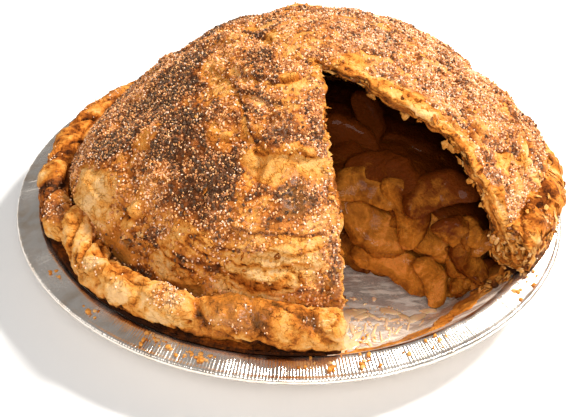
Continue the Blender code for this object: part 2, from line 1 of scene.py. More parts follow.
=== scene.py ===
"""Looks of a domed apple pie in a foil tin, with one slice taken out.

Metres, +Z up. The origin is the centre of the tin's underside. The open slice faces -Y and +X.
"""

import math

import bmesh
import bpy
import numpy as np
from bpy.props import FloatProperty, FloatVectorProperty, IntProperty, PointerProperty
from mathutils import Matrix, Vector


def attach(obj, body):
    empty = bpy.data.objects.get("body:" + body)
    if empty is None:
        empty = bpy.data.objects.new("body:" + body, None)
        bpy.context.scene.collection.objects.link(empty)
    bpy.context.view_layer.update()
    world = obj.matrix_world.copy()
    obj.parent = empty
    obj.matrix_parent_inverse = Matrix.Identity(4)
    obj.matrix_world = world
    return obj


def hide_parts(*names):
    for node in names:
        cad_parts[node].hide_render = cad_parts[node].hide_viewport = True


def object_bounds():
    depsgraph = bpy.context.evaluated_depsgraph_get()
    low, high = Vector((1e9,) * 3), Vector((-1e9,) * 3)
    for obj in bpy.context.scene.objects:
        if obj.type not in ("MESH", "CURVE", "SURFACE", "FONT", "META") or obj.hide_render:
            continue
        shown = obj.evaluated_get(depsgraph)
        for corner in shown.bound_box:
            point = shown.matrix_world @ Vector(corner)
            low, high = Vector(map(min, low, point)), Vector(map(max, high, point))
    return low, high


bl_info = {
    "name": "Domed Apple Pie",
    "version": (1, 0, 0),
    "blender": (4, 5, 0),
    "location": "View3D > Sidebar > Apple Pie",
    "description": "Builds the crust, sugar, apples and foil tin of a cut apple pie over its packed solids",
    "category": "Add Mesh",
}

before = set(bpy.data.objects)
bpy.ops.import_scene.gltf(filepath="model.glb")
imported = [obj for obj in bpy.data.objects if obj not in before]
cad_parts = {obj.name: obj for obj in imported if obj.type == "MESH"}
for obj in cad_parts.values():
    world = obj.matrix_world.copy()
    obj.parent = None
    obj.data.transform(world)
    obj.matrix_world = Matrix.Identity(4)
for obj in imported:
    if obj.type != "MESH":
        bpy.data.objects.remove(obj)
CAD_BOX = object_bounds()
BODY = "root"

MM = 0.001

# Sizes shared with the solids
TIN_RADIUS = 132 * MM
FLOOR_RADIUS = 92 * MM
FLANGE_INNER_RADIUS = 121 * MM
FLANGE_INNER_HEIGHT = 28.6 * MM
FLANGE_OUTER_HEIGHT = 25.0 * MM
FOIL = 0.4 * MM
BEAD_RADIUS = 1.6 * MM
BOTTOM_THICKNESS = 3.0 * MM
BOTTOM_LIP_HEIGHT = 30.2 * MM
BOTTOM_LIP_RADIUS = 119.5 * MM
DOME_CENTRE = np.array([11.5 * MM, 0.0])
DOME_HEIGHT = 114 * MM
DOME_FOOT_HEIGHT = 36 * MM
DOME_WIDTH_POWER = 1.68
DOME_HEIGHT_POWER = 1.58
DOME_FOOT_LEFT = 105 * MM
DOME_FOOT_FRONT = 104 * MM
DOME_FOOT_RIGHT = 124 * MM
DOME_FOOT_BACK = 110 * MM
DOME_SKIRT = 6 * MM
TOP_THICKNESS = 5.5 * MM
FOOT_THICKNESS = 9.0 * MM
FLAKE_STEP = 0.5 * MM
FLAKE_STRETCH = np.array([1.0, 1.0, 1.9])
ROLL_UNDERSIDE = 30.5 * MM
ROLL_FLATTENED = 0.93
FRONT_ROLL_RADIUS = 113.6 * MM
FRONT_ROLL_START = -158
BACK_ROLL_RADIUS = 114.6 * MM
BACK_ROLL_END = 211
ROLL_HALF_WIDTH = 8.2 * MM
ROLL_HALF_HEIGHT = 8.1 * MM
SLICE_TIP = np.array([6.5 * MM, -17 * MM])
SLICE_LEFT_SIDE = np.array([(9.5, -35), (14, -62), (18.5, -90), (22, -117), (25, -145)]) * MM
SLICE_RIGHT_SIDE = np.array([(20, -21), (36, -28), (57, -35), (70, -40), (82, -50), (94, -57), (113, -66),
                             (145, -82)]) * MM
BOTH_SIDES = (SLICE_RIGHT_SIDE, SLICE_LEFT_SIDE)
UNDER_STRIDE = 4
HEAP_SCRAPED = 3.5 * MM
APPLE_RADIUS = 24 * MM
APPLE_DEPTH = 21 * MM
APPLE_THICKNESS = 13 * MM
APPLE_SWEEP = 62
WEDGE_SIDES = 22
APPLE_CUT_WAY = np.array([0.905, -0.425])
APPLE_SECTION = [(0.30, 0.50), (0.50, 0.16), (0.50, -0.20), (0.28, -0.50), (-0.50, -0.10), (-0.46, 0.16)]

# Swellings of the dome over the fruit: angle in degrees, steepness, width in degrees, span, height in mm
SWELLINGS = [
    (-160, 0.86, 16, 0.16, 5.0), (-141, 0.62, 15, 0.16, 2.6), (-118, 0.72, 13, 0.15, 3.4),
    (-96, 0.80, 12, 0.12, 3.0), (-168, 0.55, 16, 0.15, -2.6), (-130, 0.86, 10, 0.12, -2.4),
    (165, 0.70, 12, 0.14, -3.0), (148, 0.80, 14, 0.14, 1.0), (152, 0.50, 28, 0.24, -4.2),
    (110, 0.50, 22, 0.16, 1.6), (58, 0.60, 22, 0.20, 1.0), (30, 0.55, 14, 0.14, -2.0),
    (12, 0.74, 13, 0.13, 2.8), (-12, 0.66, 12, 0.14, 2.6), (95, 0.82, 15, 0.14, -2.4),
]

# Apple wedges at the open slice: place in mm, way faced, tilt, spin and size
OPEN_SIDE_WEDGES = [
    (36, -34, 31, -95, 30, 220, 0.90),
    (32, -26, 50, -95, 62, 5, 0.84),
    (55, -38, 45, -100, 25, 62, 0.72),
    (51, -40, 17, -85, 42, 28, 0.84),
    (69, -49, 12, -60, 18, 78, 0.62),
    (77, -48, 40, -80, 24, 40, 0.52),
    (82, -50, 27, -78, 14, 250, 0.60),
    (65, -42, 30, -84, 24, 204, 0.76),
    (68, -34, 54, -90, 58, -18, 0.74),
    (46, -24, 57, -110, 68, 14, 0.78),
    (27, -24, 14, -90, 22, 30, 0.80),
    (88, -46, 14, -70, 30, -30, 0.56),
    (23, 6, 58, -92, 34, 4, 0.84),
    (38, 11, 58, -84, 12, 92, 0.70),
    (6, -34, 24, 10, 10, 24, 0.84),
    (10, -50, 42, 6, 30, -28, 0.78),
    (13, -62, 19, 8, 4, 196, 0.84),
    (15, -80, 34, 12, 16, 40, 0.72),
    (17, -85, 13, 6, 8, -14, 0.62),
    (3, -32, 50, 16, 44, 8, 0.76),
]
TOP_WEDGES = 9

# Puffed blisters with a sharp rim: angle, steepness, reach round and down in mm, height in mm
BLISTERS = [
    (-156, 0.80, 15, 11, 3.2), (-140, 0.78, 5, 10, 1.8), (-144, 0.56, 6, 14, 1.6), (-153, 0.56, 5, 10, 1.4),
    (-104, 0.82, 17, 8, 1.8), (-124, 0.84, 9, 8, 1.6), (-128, 0.47, 9, 6, 1.0), (-106, 0.40, 12, 9, 1.1),
    (4, 0.60, 13, 10, 1.8), (-16, 0.52, 9, 12, 1.5), (-12, 0.80, 13, 9, 2.2), (20, 0.44, 14, 9, 1.4),
    (-168, 0.34, 11, 9, 1.2), (46, 0.76, 16, 9, 1.8), (90, 0.60, 16, 12, 1.5), (140, 0.52, 14, 12, 1.6),
]

# Bakes on the dome: angle in degrees, steepness, reach round and down the crust in mm, strength
DARK_PATCHES = [
    (-171, 0.45, 19, 16, 0.66), (-146, 0.50, 14, 14, 0.56), (-171, 0.58, 14, 12, 0.42),
    (-125, 0.57, 20, 10, 0.42), (-124, 0.64, 18, 9, 0.34), (-97, 0.56, 7, 12, 0.30),
    (-163, 0.68, 12, 10, 0.38), (-151, 0.21, 8, 5, 0.44), (-105, 0.40, 10, 8, 0.14),
    (174, 0.42, 14, 14, 0.42), (-158, 0.56, 9, 14, 0.28), (120, 0.50, 30, 22, 0.22),
    (75, 0.66, 22, 14, 0.20), (160, 0.72, 16, 10, 0.26), (30, 0.72, 18, 12, 0.12),
]
BARE_PATCHES = [
    (141, 0.25, 6, 9, 0.9), (174, 0.16, 7, 5, 0.9), (-174, 0.35, 6, 5, 0.8), (-146, 0.35, 7, 5, 0.8),
    (-129, 0.46, 8, 6, 0.7), (-153, 0.57, 6, 8, 0.8), (-107, 0.505, 12, 8, 1.0), (-96, 0.49, 13, 8, 1.0),
    (-107, 0.25, 7, 4, 1.0), (-113, 0.56, 3, 9, 0.8), (57, 0.18, 8, 9, 1.0), (35, 0.25, 5, 5, 0.8),
    (-25, 0.53, 6, 6, 0.7), (-24, 0.64, 7, 5, 0.9), (-14, 0.69, 9, 5, 0.9), (-110, 0.76, 9, 6, 0.7),
    (-120, 0.75, 12, 6, 0.7), (100, 0.36, 12, 8, 0.8), (20, 0.86, 14, 6, 0.8), (60, 0.84, 16, 6, 0.8),
    (130, 0.86, 18, 6, 0.8),
]
PALE_PATCHES = [
    (-102, 0.79, 18, 9, 1.0), (-155, 0.80, 17, 13, 1.0), (-141, 0.77, 4, 9, 1.0), (-93, 0.76, 9, 10, 0.8),
    (-106, 0.87, 14, 6, 0.9), (-128, 0.85, 9, 9, 0.9), (-62, 0.80, 10, 10, 0.7), (-10, 0.84, 16, 10, 0.7),
    (90, 0.84, 24, 9, 0.8), (165, 0.88, 20, 8, 0.8),
]
AMBER_PATCHES = [
    (-141, 0.90, 9, 6, 1.0), (-118, 0.94, 10, 5, 1.0), (-97, 0.56, 6, 11, 0.7), (-87, 0.86, 3, 8, 0.8),
    (57, 0.19, 10, 8, 1.0), (-109, 0.67, 16, 4, 0.5), (-160, 0.93, 12, 5, 1.0),
]
GREY_PATCHES = [
    (137, 0.13, 6, 5, 0.6), (3, 0.34, 13, 5, 0.6), (-107, 0.40, 6, 5, 0.35), (-121, 0.34, 6, 5, 0.3),
    (80, 0.40, 9, 6, 0.5),
]

# Torn edges of the outer sheet: step in mm, then corners as angle and steepness.
# The upper sheet lies on the left hand of the way along the corners.
TORN_EDGES = [
    (2.0, [(-116, 0.472), (-111, 0.475), (-106, 0.467), (-101, 0.466), (-95, 0.457), (-88, 0.461)]),
    (2.3, [(-156, 0.274), (-142, 0.279), (-131, 0.270), (-121, 0.268), (-109, 0.242), (-100, 0.200)]),
    (1.7, [(-172, 0.331), (-158, 0.311), (-143, 0.313), (-133, 0.326), (-123, 0.321), (-114, 0.328),
           (-106, 0.338)]),
    (1.2, [(147, 0.296), (155, 0.218), (176, 0.168), (-164, 0.161)]),
    (1.0, [(-138, 0.330), (-127, 0.362), (-119, 0.416), (-113, 0.470)]),
    (1.4, [(-152, 0.710), (-147, 0.739), (-143, 0.768), (-138, 0.785)]),
    (0.9, [(-114, 0.683), (-108, 0.692), (-102, 0.677), (-94, 0.681), (-86, 0.660)]),
    (1.2, [(-124, 0.733), (-116, 0.751), (-109, 0.752), (-102, 0.731), (-95, 0.734), (-88, 0.707)]),
    (1.1, [(-117, 0.811), (-111, 0.788), (-103, 0.790), (-96, 0.760), (-89, 0.768)]),
    (1.0, [(-136, 0.813), (-130, 0.835), (-125, 0.847), (-119, 0.850)]),
    (1.3, [(5, 0.345), (0, 0.409), (-9, 0.468), (-16, 0.520)]),
    (1.1, [(-29, 0.129), (-21, 0.208), (-22, 0.282), (-21, 0.359)]),
    (1.4, [(-27, 0.408), (-26, 0.488), (-27, 0.563), (-29, 0.634)]),
    (1.5, [(6, 0.478), (1, 0.560), (-5, 0.631), (-10, 0.695)]),
    (1.3, [(-13, 0.585), (-18, 0.674), (-21, 0.772)]),
    (1.2, [(60, 0.30), (75, 0.36), (92, 0.40), (110, 0.38)]),
    (1.1, [(120, 0.62), (138, 0.66), (156, 0.64), (170, 0.60)]),
    (1.2, [(24, 0.62), (40, 0.70), (58, 0.72), (76, 0.70)]),
]


# Numbers that vary smoothly over the surfaces

def stack(*parts):
    return np.stack(parts, axis=-1)


def lattice_value(cells, seed):
    """A fixed number from -1 to 1 for each whole-number cell corner."""
    mixed = cells[..., 0] * 12.9898 + cells[..., 1] * 78.233 + cells[..., 2] * 37.719 + seed * 4.1414
    turned = np.sin(mixed) * 43758.5453
    return 2.0 * (turned - np.floor(turned)) - 1.0


def ripple(points, wavelength, seed):
    """Smooth uneven waves from -1 to 1 at points in space, with a wavelength in mm."""
    cells = np.asarray(points, float) / (wavelength * MM)
    corner = np.floor(cells)
    part = cells - corner
    part = part * part * (3.0 - 2.0 * part)
    total = np.zeros(cells.shape[:-1])
    for offset in np.ndindex(2, 2, 2):
        offset = np.array(offset, float)
        weight = np.prod(np.where(offset > 0, part, 1.0 - part), axis=-1)
        total += weight * lattice_value(corner + offset, seed)
    return total


def waves(points, *rows):
    """Height in metres of waves laid over each other: rows of height in mm, wavelength in mm and seed."""
    return sum(height * MM * ripple(points, wavelength, seed) for height, wavelength, seed in rows)


def wander(points, wavelength, seed):
    """Three independent waves, as a shift in space."""
    return stack(*(ripple(points, wavelength, seed + part) for part in range(3)))


def bell(value, width):
    return np.exp(-(value / width) ** 2)


def ease(value):
    """0 to 1 with a soft start and a soft stop."""
    value = np.clip(value, 0.0, 1.0)
    return value * value * (3.0 - 2.0 * value)


def turn_difference(angle, centre):
    """Degrees from centre to angle, the short way round."""
    return (angle - centre + 180.0) % 360.0 - 180.0


def near(degrees, centre, width):
    return bell(turn_difference(degrees, centre), width)


# Form of the dome

def foot_radius(angle):
    across, along = np.cos(angle), np.sin(angle)
    side = np.where(across > 0, DOME_FOOT_RIGHT - DOME_CENTRE[0], DOME_FOOT_LEFT + DOME_CENTRE[0])
    depth = np.where(along > 0, DOME_FOOT_BACK, DOME_FOOT_FRONT)
    return 1.0 / np.sqrt((across / side) ** 2 + (along / depth) ** 2)


def dome_point(angle, steepness):
    """The dome's plain outer surface. Steepness runs from 0 at the top to 1 at the foot."""
    swing = np.clip(steepness, 0.0, 1.0) * math.pi / 2
    reach = foot_radius(angle) * np.sin(swing) ** (2 / DOME_WIDTH_POWER)
    rise = np.maximum(np.cos(swing), 0.0) ** (2 / DOME_HEIGHT_POWER)
    return stack(DOME_CENTRE[0] + reach * np.cos(angle), DOME_CENTRE[1] + reach * np.sin(angle),
                 DOME_FOOT_HEIGHT + (DOME_HEIGHT - DOME_FOOT_HEIGHT) * rise)


def dome_coordinates(plan):
    """Angle and steepness of the dome above points seen from above."""
    across, along = plan[..., 0] - DOME_CENTRE[0], plan[..., 1] - DOME_CENTRE[1]
    angle = np.arctan2(along, across)
    share = np.clip(np.hypot(across, along) / foot_radius(angle), 0.0, 1.0)
    return angle, np.arcsin(share ** (DOME_WIDTH_POWER / 2)) / (math.pi / 2)


def dome_outward(angle, steepness):
    """Unit normal of the plain dome."""
    step = 0.01
    around = dome_point(angle + step, steepness) - dome_point(angle - step, steepness)
    upper = np.maximum(steepness - step, 0.0)
    lower = np.minimum(steepness + step, 0.999)
    down = dome_point(angle, lower) - dome_point(angle, np.minimum(upper, 0.98))
    outward = np.cross(down, around)
    length = np.linalg.norm(outward, axis=-1, keepdims=True)
    return np.where(length > 1e-12, outward / np.maximum(length, 1e-12), [0.0, 0.0, 1.0])


def broad_relief(angle, steepness, point):
    """The relief that the solid has too."""
    degrees = np.degrees(angle)
    height = waves(point, (1.5, 34, 3), (1.5, 15, 8))
    height = height + FLAKE_STEP * np.tanh(6.0 * ripple(point * FLAKE_STRETCH, 27, 31))
    for centre, level, width, span, rise in SWELLINGS:
        height = height + rise * MM * near(degrees, centre, width) * bell(steepness - level, span)
    return height * np.clip((1.02 - steepness) * 6.0, 0.0, 1.0)


def crust_thickness(steepness):
    lower = ease((steepness - 0.50) / 0.34)
    above_fold = np.clip((1.0 - steepness) / 0.06, 0.0, 1.0)
    return TOP_THICKNESS + (FOOT_THICKNESS - TOP_THICKNESS) * lower * above_fold


# Marks on the dome

def patch_distance(point, patch):
    """How far inside a patch the points lie: 1 in its middle, 0 on its edge, negative outside."""
    degrees, steepness, round_reach, down_reach = patch[:4]
    angle = np.array(math.radians(degrees))
    middle = dome_point(angle, np.array(steepness))
    outward = dome_outward(angle, np.array(steepness))
    round_way = np.array([-math.sin(angle), math.cos(angle), 0.0])
    down_way = np.cross(round_way, outward)
    away = point - middle
    return 1.0 - np.hypot(away @ round_way / (round_reach * MM), away @ down_way / (down_reach * MM))


def patch_cover(point, patches, softness):
    """Strongest cover of a list of patches, 0 to 1, with uneven edges."""
    cover = np.zeros(point.shape[:-1])
    uneven = 0.34 * ripple(point, 7, 71) + 0.20 * ripple(point, 3.2, 72)
    for patch in patches:
        inside = ease((patch_distance(point, patch) + uneven) / softness + 0.5)
        cover = np.maximum(cover, inside * patch[4])
    return cover


def edge_distance(point, corners):
    """Metres from a torn edge, positive on its upper sheet's side, and how strong the tear is there."""
    angles = np.radians(np.array([corner[0] for corner in corners], float))
    places = dome_point(angles, np.array([corner[1] for corner in corners]))
    middle = places.mean(axis=0)
    angle, steepness = dome_coordinates(middle[:2])
    outward = dome_outward(angle, steepness)
    first = np.cross([0.0, 0.0, 1.0], outward)
    first = first / np.linalg.norm(first)
    second = np.cross(outward, first)
    flat = stack((places - middle) @ first, (places - middle) @ second)
    x, y = (point - middle) @ first, (point - middle) @ second
    nearest = np.full(x.shape, 1.0)
    signed = np.full(x.shape, -1.0)
    strength = np.zeros(x.shape)
    lengths = np.linalg.norm(np.diff(flat, axis=0), axis=1)
    before = 0.0
    for start, way, length in zip(flat[:-1], np.diff(flat, axis=0), lengths):
        share = np.clip(((x - start[0]) * way[0] + (y - start[1]) * way[1]) / (way @ way), 0.0, 1.0)
        away = np.hypot(x - start[0] - share * way[0], y - start[1] - share * way[1])
        side = np.sign(way[0] * (y - start[1]) - way[1] * (x - start[0]))
        run = before + share * length
        closer = away < nearest
        nearest = np.where(closer, away, nearest)
        signed = np.where(closer, away * side, signed)
        strength = np.where(closer, ease(np.minimum(run, lengths.sum() - run) / (6 * MM) + 0.1), strength)
        before += length
    facing = (point - middle) @ outward > -25 * MM
    return signed, strength * facing


def shingles(down, along, pitch, seed):
    """Overlapping sheets whose lower edges step down: height from 0 to 1, and a mask of the gaps under the
    edges, where painted shade goes.
    """
    where = stack(along, down * 0.45, along * 0.0)
    level = down / (pitch * MM) + 1.7 * ripple(where, 13, seed) + 0.8 * ripple(where, 4.5, seed + 1)
    part = level - np.floor(level)
    some = ease(1.3 * ripple(where + 0.05 * np.floor(level)[..., None], 11, seed + 2) + 0.55)
    return part * (1.0 - ease((part - 0.90) / 0.10)) * some, bell(part - 0.02, 0.07) * some


def cut_distance(plan, corners):
    """Metres from a cut side seen from above, and how far along it the nearest place is."""
    line = np.array([SLICE_TIP, *corners])
    nearest = np.full(plan.shape[:-1], 1.0)
    along = np.zeros(plan.shape[:-1])
    before = 0.0
    for start, way in zip(line[:-1], np.diff(line, axis=0)):
        share = np.clip(((plan - start) @ way) / (way @ way), 0.0, 1.0)
        away = np.linalg.norm(plan - start - share[..., None] * way, axis=-1)
        length = np.linalg.norm(way)
        along = np.where(away < nearest, before + share * length, along)
        nearest = np.minimum(nearest, away)
        before += length
    return nearest, along


def crust_marks(angle, steepness, point):
    """Relief and masks of the baked sheet: height in metres, bake, grey, amber, clear and caramel sugar. The
    bake carries painted shade in gaps, cracks, folds, blister rims and at the foot; grey and both sugars
    carry painted light by side.
    """
    warp = wander(point, 10, 41)
    warped = point + 2.6 * MM * warp
    torn_place = point + 1.0 * MM * warp + 0.8 * MM * ripple(point, 3.0, 44)[..., None]
    degrees = np.degrees(angle)
    right_band = near(degrees, -6, 40) * ease((steepness - 0.20) / 0.25)
    front_low = near(degrees, -108, 36) * ease((steepness - 0.66) / 0.08)
    elsewhere = 0.4 * ease(1.5 * ripple(point, 24, 47)) * ease((steepness - 0.1) / 0.1)

    height = waves(warped, (0.85, 8, 51), (0.52, 3.9, 52))
    height += 0.30 * MM * ripple(warped, 2.1, 53)
    height += 1.3 * MM * right_band * ripple(warped, 17, 54)

    around = degrees * 1.75 * MM
    down = 150 * MM * steepness
    level_sheets, level_gaps = shingles(down, around, 4.6, 61)
    slope_sheets, slope_gaps = shingles(-around, down, 5.5, 64)
    level_share = np.maximum(front_low, elsewhere)
    height += 1.2 * MM * (level_sheets - 0.4) * level_share + 2.6 * MM * (slope_sheets - 0.4) * right_band
    gaps = np.maximum(level_gaps * level_share, slope_gaps * right_band)

    from_cut, along_cut = cut_distance(point[..., :2], SLICE_RIGHT_SIDE)
    reach = 7.5 * MM + waves(torn_place, (5, 12, 74), (4, 5, 75))
    strip = ease((reach - from_cut) / (2.5 * MM)) * ease((along_cut - 6 * MM) / (8 * MM))
    strip_sheets, strip_gaps = shingles(-from_cut, along_cut, 3.4, 76)
    cut_streak = ripple(stack(along_cut * 0.16, from_cut, along_cut * 0.0) + 0.4 * MM * warp, 1.9, 78)
    band_streak = ripple(stack(around, down * 0.22, down * 0.0) + 0.8 * MM * warp, 3.4, 79)
    streak = 1.6 * cut_streak * strip + band_streak * right_band * (1.0 - strip) * 0.8
    height += (1.6 * (strip_sheets - 0.4) * strip + 0.55 * streak) * MM
    gaps = np.maximum(gaps, strip_gaps * strip)
    folds = bell(ripple(point + 3 * MM * warp, 25, 56), 0.085) * ease(1.5 * ripple(point, 30, 57) + 0.7)
    folds *= ease((steepness - 0.12) / 0.1) * (1.0 - strip)
    height += 1.5 * MM * ripple(point, 19, 55) - 2.1 * MM * folds

    rims = np.zeros(steepness.shape)
    for blister in BLISTERS:
        inside = patch_distance(point, blister) + 0.16 * ripple(point, 6, 73)
        height += blister[4] * MM * ease(inside / 0.55) * 0.8
        rims = np.maximum(rims, bell(inside + 0.04, 0.07))
    height -= 0.5 * MM * rims

    torn_bare = np.zeros(steepness.shape)
    torn_edge_shadow = np.zeros(steepness.shape)
    for step, corners in TORN_EDGES:
        away, strength = edge_distance(torn_place, corners)
        upper = ease(away / (0.6 * MM) + 0.5) * np.exp(-np.maximum(away, 0.0) / (10 * MM))
        lower = ease(-away / (0.6 * MM) + 0.5) * np.exp(-np.maximum(-away, 0.0) / (5 * MM))
        height += step * MM * strength * (0.95 * upper - 0.60 * lower)
        below = ease((-away - 0.2 * MM) / (0.8 * MM)) * np.exp(-np.maximum(-away, 0.0) / (5 * MM))
        torn_bare = np.maximum(torn_bare, below * strength)
        # Painted shadow: a thin dark line just under each torn edge, added to the bake below.
        torn_edge_shadow = np.maximum(torn_edge_shadow, bell(away + 0.35 * MM, 0.65 * MM) * strength)

    along = stack(around, down * 0.26, around * 0.0) + 1.2 * MM * warp
    across = stack(around * 0.28, down, around * 0.0) + 1.2 * MM * warp
    down_cracks = bell(ripple(along, 7, 65), 0.075) * ease(ripple(along, 15, 66) * 3 + 0.5)
    level_cracks = bell(ripple(across, 6, 67), 0.075) * ease(ripple(across, 14, 68) * 3)
    crack = np.maximum(down_cracks * right_band, level_cracks * np.maximum(front_low, 0.4))
    height -= 1.1 * MM * crack

    dark = patch_cover(point, DARK_PATCHES, 0.9)
    bare = np.maximum(np.maximum(patch_cover(point, BARE_PATCHES, 0.45), torn_bare), 0.9 * strip)
    pale = patch_cover(point, PALE_PATCHES, 0.5)
    amber = patch_cover(point, AMBER_PATCHES, 0.6)
    grey = patch_cover(point, GREY_PATCHES, 0.7)
    wrinkled = patch_cover(point, PALE_PATCHES[1:3], 0.6)
    height += wrinkled * 1.5 * MM * (1.0 - 2.4 * np.abs(ripple(across * 1.2, 6, 69)))

    bake = 0.40 + 0.18 * ripple(point, 28, 81) + 0.19 * ripple(point, 12, 82)
    small = 0.20 * ripple(point, 5, 83) + 0.20 * ripple(point, 2.6, 84)
    bake += small * (1.0 - 0.55 * right_band) + dark + 0.03 * height / MM - 0.05 * right_band
    bake = bake * (1.0 - 0.72 * bare) + (0.27 + 0.10 * ripple(point, 6, 87)) * bare * 0.72
    bake = bake * (1.0 - 0.7 * pale) + (0.16 + 0.22 * ripple(point, 5, 85)) * 0.7 * pale
    # Painted shade in the bake: a dark line under torn edges, in the gaps under sheet edges, in cracks, folds
    # and blister rims, and at the foot of the dome beside the roll. The streak and amber terms are the
    # crust's own colour.
    bake += (0.22 * streak + 0.24 * amber + 0.42 * torn_edge_shadow + 0.42 * gaps + 0.50 * crack + 0.16 * folds
             + 0.20 * rims + 0.45 * ease((steepness - 0.93) / 0.05))
    sugar = np.clip(1.0 - 1.1 * np.maximum(np.maximum(bare, pale), amber * 0.7), 0.0, 1.0)
    sugar *= 0.42 + 0.58 * ease(0.70 + 1.7 * ripple(warped, 14, 91) + 0.5 * ripple(warped, 5, 92))
    sugar *= 1.0 - ease((steepness - 0.78) / 0.14) * 0.75
    sugar *= 1.0 - 0.25 * right_band * ease((steepness - 0.55) / 0.2) - 0.4 * gaps
    sugar = np.clip(sugar + 0.5 * dark, 0.0, 1.0)
    # Painted light by side: towards the key light at +X the sugar is painted paler and greyer and gets more
    # clear grains; away from it the grains turn to caramel, as painted shade.
    lit_side = ease((point[..., 0] + 15 * MM) / (60 * MM))
    grey = np.maximum(grey, 0.55 * lit_side * sugar)
    caramel = sugar * (1.0 - 0.55 * lit_side)
    bake = bake + 0.22 * (sugar - 0.40) + 0.04 * lit_side
    sugar = sugar * (0.42 + 0.58 * lit_side)
    return height, np.clip(bake, 0.0, 1.0), grey, amber, sugar, caramel


# Slice cut

def along_line(corners, share):
    """Points at shares from 0 to 1 of a line's length."""
    corners = np.array(corners, float)
    steps = np.linalg.norm(np.diff(corners, axis=0), axis=1)
    run = np.concatenate([[0.0], np.cumsum(steps)]) / steps.sum()
    return stack(np.interp(share, run, corners[:, 0]), np.interp(share, run, corners[:, 1]))


def cut_to_edge(corners, tip, is_beyond):
    """The part of a cut side from the slice's tip to the piece's outer edge, as corners close together."""
    line = along_line([tip, *corners], np.linspace(0.0, 1.0, 4001))
    last = int(np.argmax(is_beyond(line)))
    return line[:last + 1]


def moved_side(corners, aside):
    """A cut side moved sideways: a positive value moves it to the left of its way out."""
    points = np.array([SLICE_TIP, *corners])
    way = points[-1] - points[0]
    normal = np.array([-way[1], way[0]]) / np.linalg.norm(way)
    return points + normal * aside


def ray_plan(right, left, ends, shares):
    """Plan points on rays from the slice's tip: the first follows the right cut and the last the left cut."""
    tip = right[0]
    columns = len(ends)
    turn = np.linspace(0.0, 1.0, columns)[:, None, None]
    straight = tip + (ends[:, None, :] - tip) * shares[..., None]
    right_bend = along_line(right, shares[0]) - straight[0]
    left_bend = along_line(left, shares[-1]) - straight[-1]
    right_weight = np.clip(1.0 - turn / 0.10, 0.0, 1.0) ** 2
    left_weight = np.clip(1.0 - (1.0 - turn) / 0.10, 0.0, 1.0) ** 2
    return straight + right_weight * right_bend + left_weight * left_bend


def swept_angles(right_end, left_end, centre, columns):
    """Angles about a centre from the right cut round the back to the left cut."""
    start = math.atan2(*(right_end - centre)[::-1])
    stop = math.atan2(*(left_end - centre)[::-1])
    if stop < start:
        stop += 2 * math.pi
    return np.linspace(start, stop, columns)


# Joining rows of points into skins

def strip_faces(first, second):
    """Faces between two rows of vertex numbers, where the second is as long or has twice the cells."""
    if len(first) == 1:
        return [(first[0], second[i], second[i + 1]) for i in range(len(second) - 1)]
    if len(first) == len(second):
        return [(first[i], second[i], second[i + 1], first[i + 1]) for i in range(len(first) - 1)]
    faces = []
    for i in range(len(first) - 1):
        faces.append((first[i], second[2 * i], second[2 * i + 1]))
        faces.append((first[i], second[2 * i + 1], first[i + 1]))
        faces.append((first[i + 1], second[2 * i + 1], second[2 * i + 2]))
    return faces


def zip_faces(first, second):
    """Triangles between two rows with any numbers of points."""
    faces = []
    i = j = 0
    while i < len(first) - 1 or j < len(second) - 1:
        take_first = j == len(second) - 1 or (i < len(first) - 1
                                              and (i + 1) / (len(first) - 1) <= (j + 1) / (len(second) - 1))
        if take_first:
            faces.append((first[i], second[j], first[i + 1]))
            i += 1
        else:
            faces.append((first[i], second[j], second[j + 1]))
            j += 1
    return faces


def mesh_from(name, points, faces, layers=None):
    """A mesh with outward faces and named layers: a number for each point, or one for all."""
    mesh = bpy.data.meshes.new(name)
    mesh.from_pydata(np.asarray(points).tolist(), [], faces)
    mesh.validate()
    shell = bmesh.new()
    shell.from_mesh(mesh)
    bmesh.ops.recalc_face_normals(shell, faces=shell.faces)
    shell.to_mesh(mesh)
    shell.free()
    for key, numbers in (layers or {}).items():
        layer = mesh.attributes.new(key, "FLOAT", "POINT")
        layer.data.foreach_set("value", np.array(np.broadcast_to(numbers, len(points)), np.float32))
    mesh.shade_smooth()
    return mesh


def pastry_layers(bake, amber, sugar=0.0):
    """The layers that pastry reads, each a number or one number for every point."""
    return {"bake": np.clip(bake, 0.0, 1.0), "sugar": sugar, "grey": 0.0, "amber": np.clip(amber, 0.0, 1.0)}


def ring_quads(first, second, count):
    """Faces between two closed rings, from the number of each one's first point."""
    return [(first + i, second + i, second + (i + 1) % count, first + (i + 1) % count) for i in range(count)]


def fan(middle, first, count):
    return [(middle, first + i, first + (i + 1) % count) for i in range(count)]


def join(points, faces, made, made_faces):
    """Add a loose part to the lists of a mesh."""
    base = len(points)
    points.extend(made)
    faces.extend([tuple(base + i for i in face) for face in made_faces])


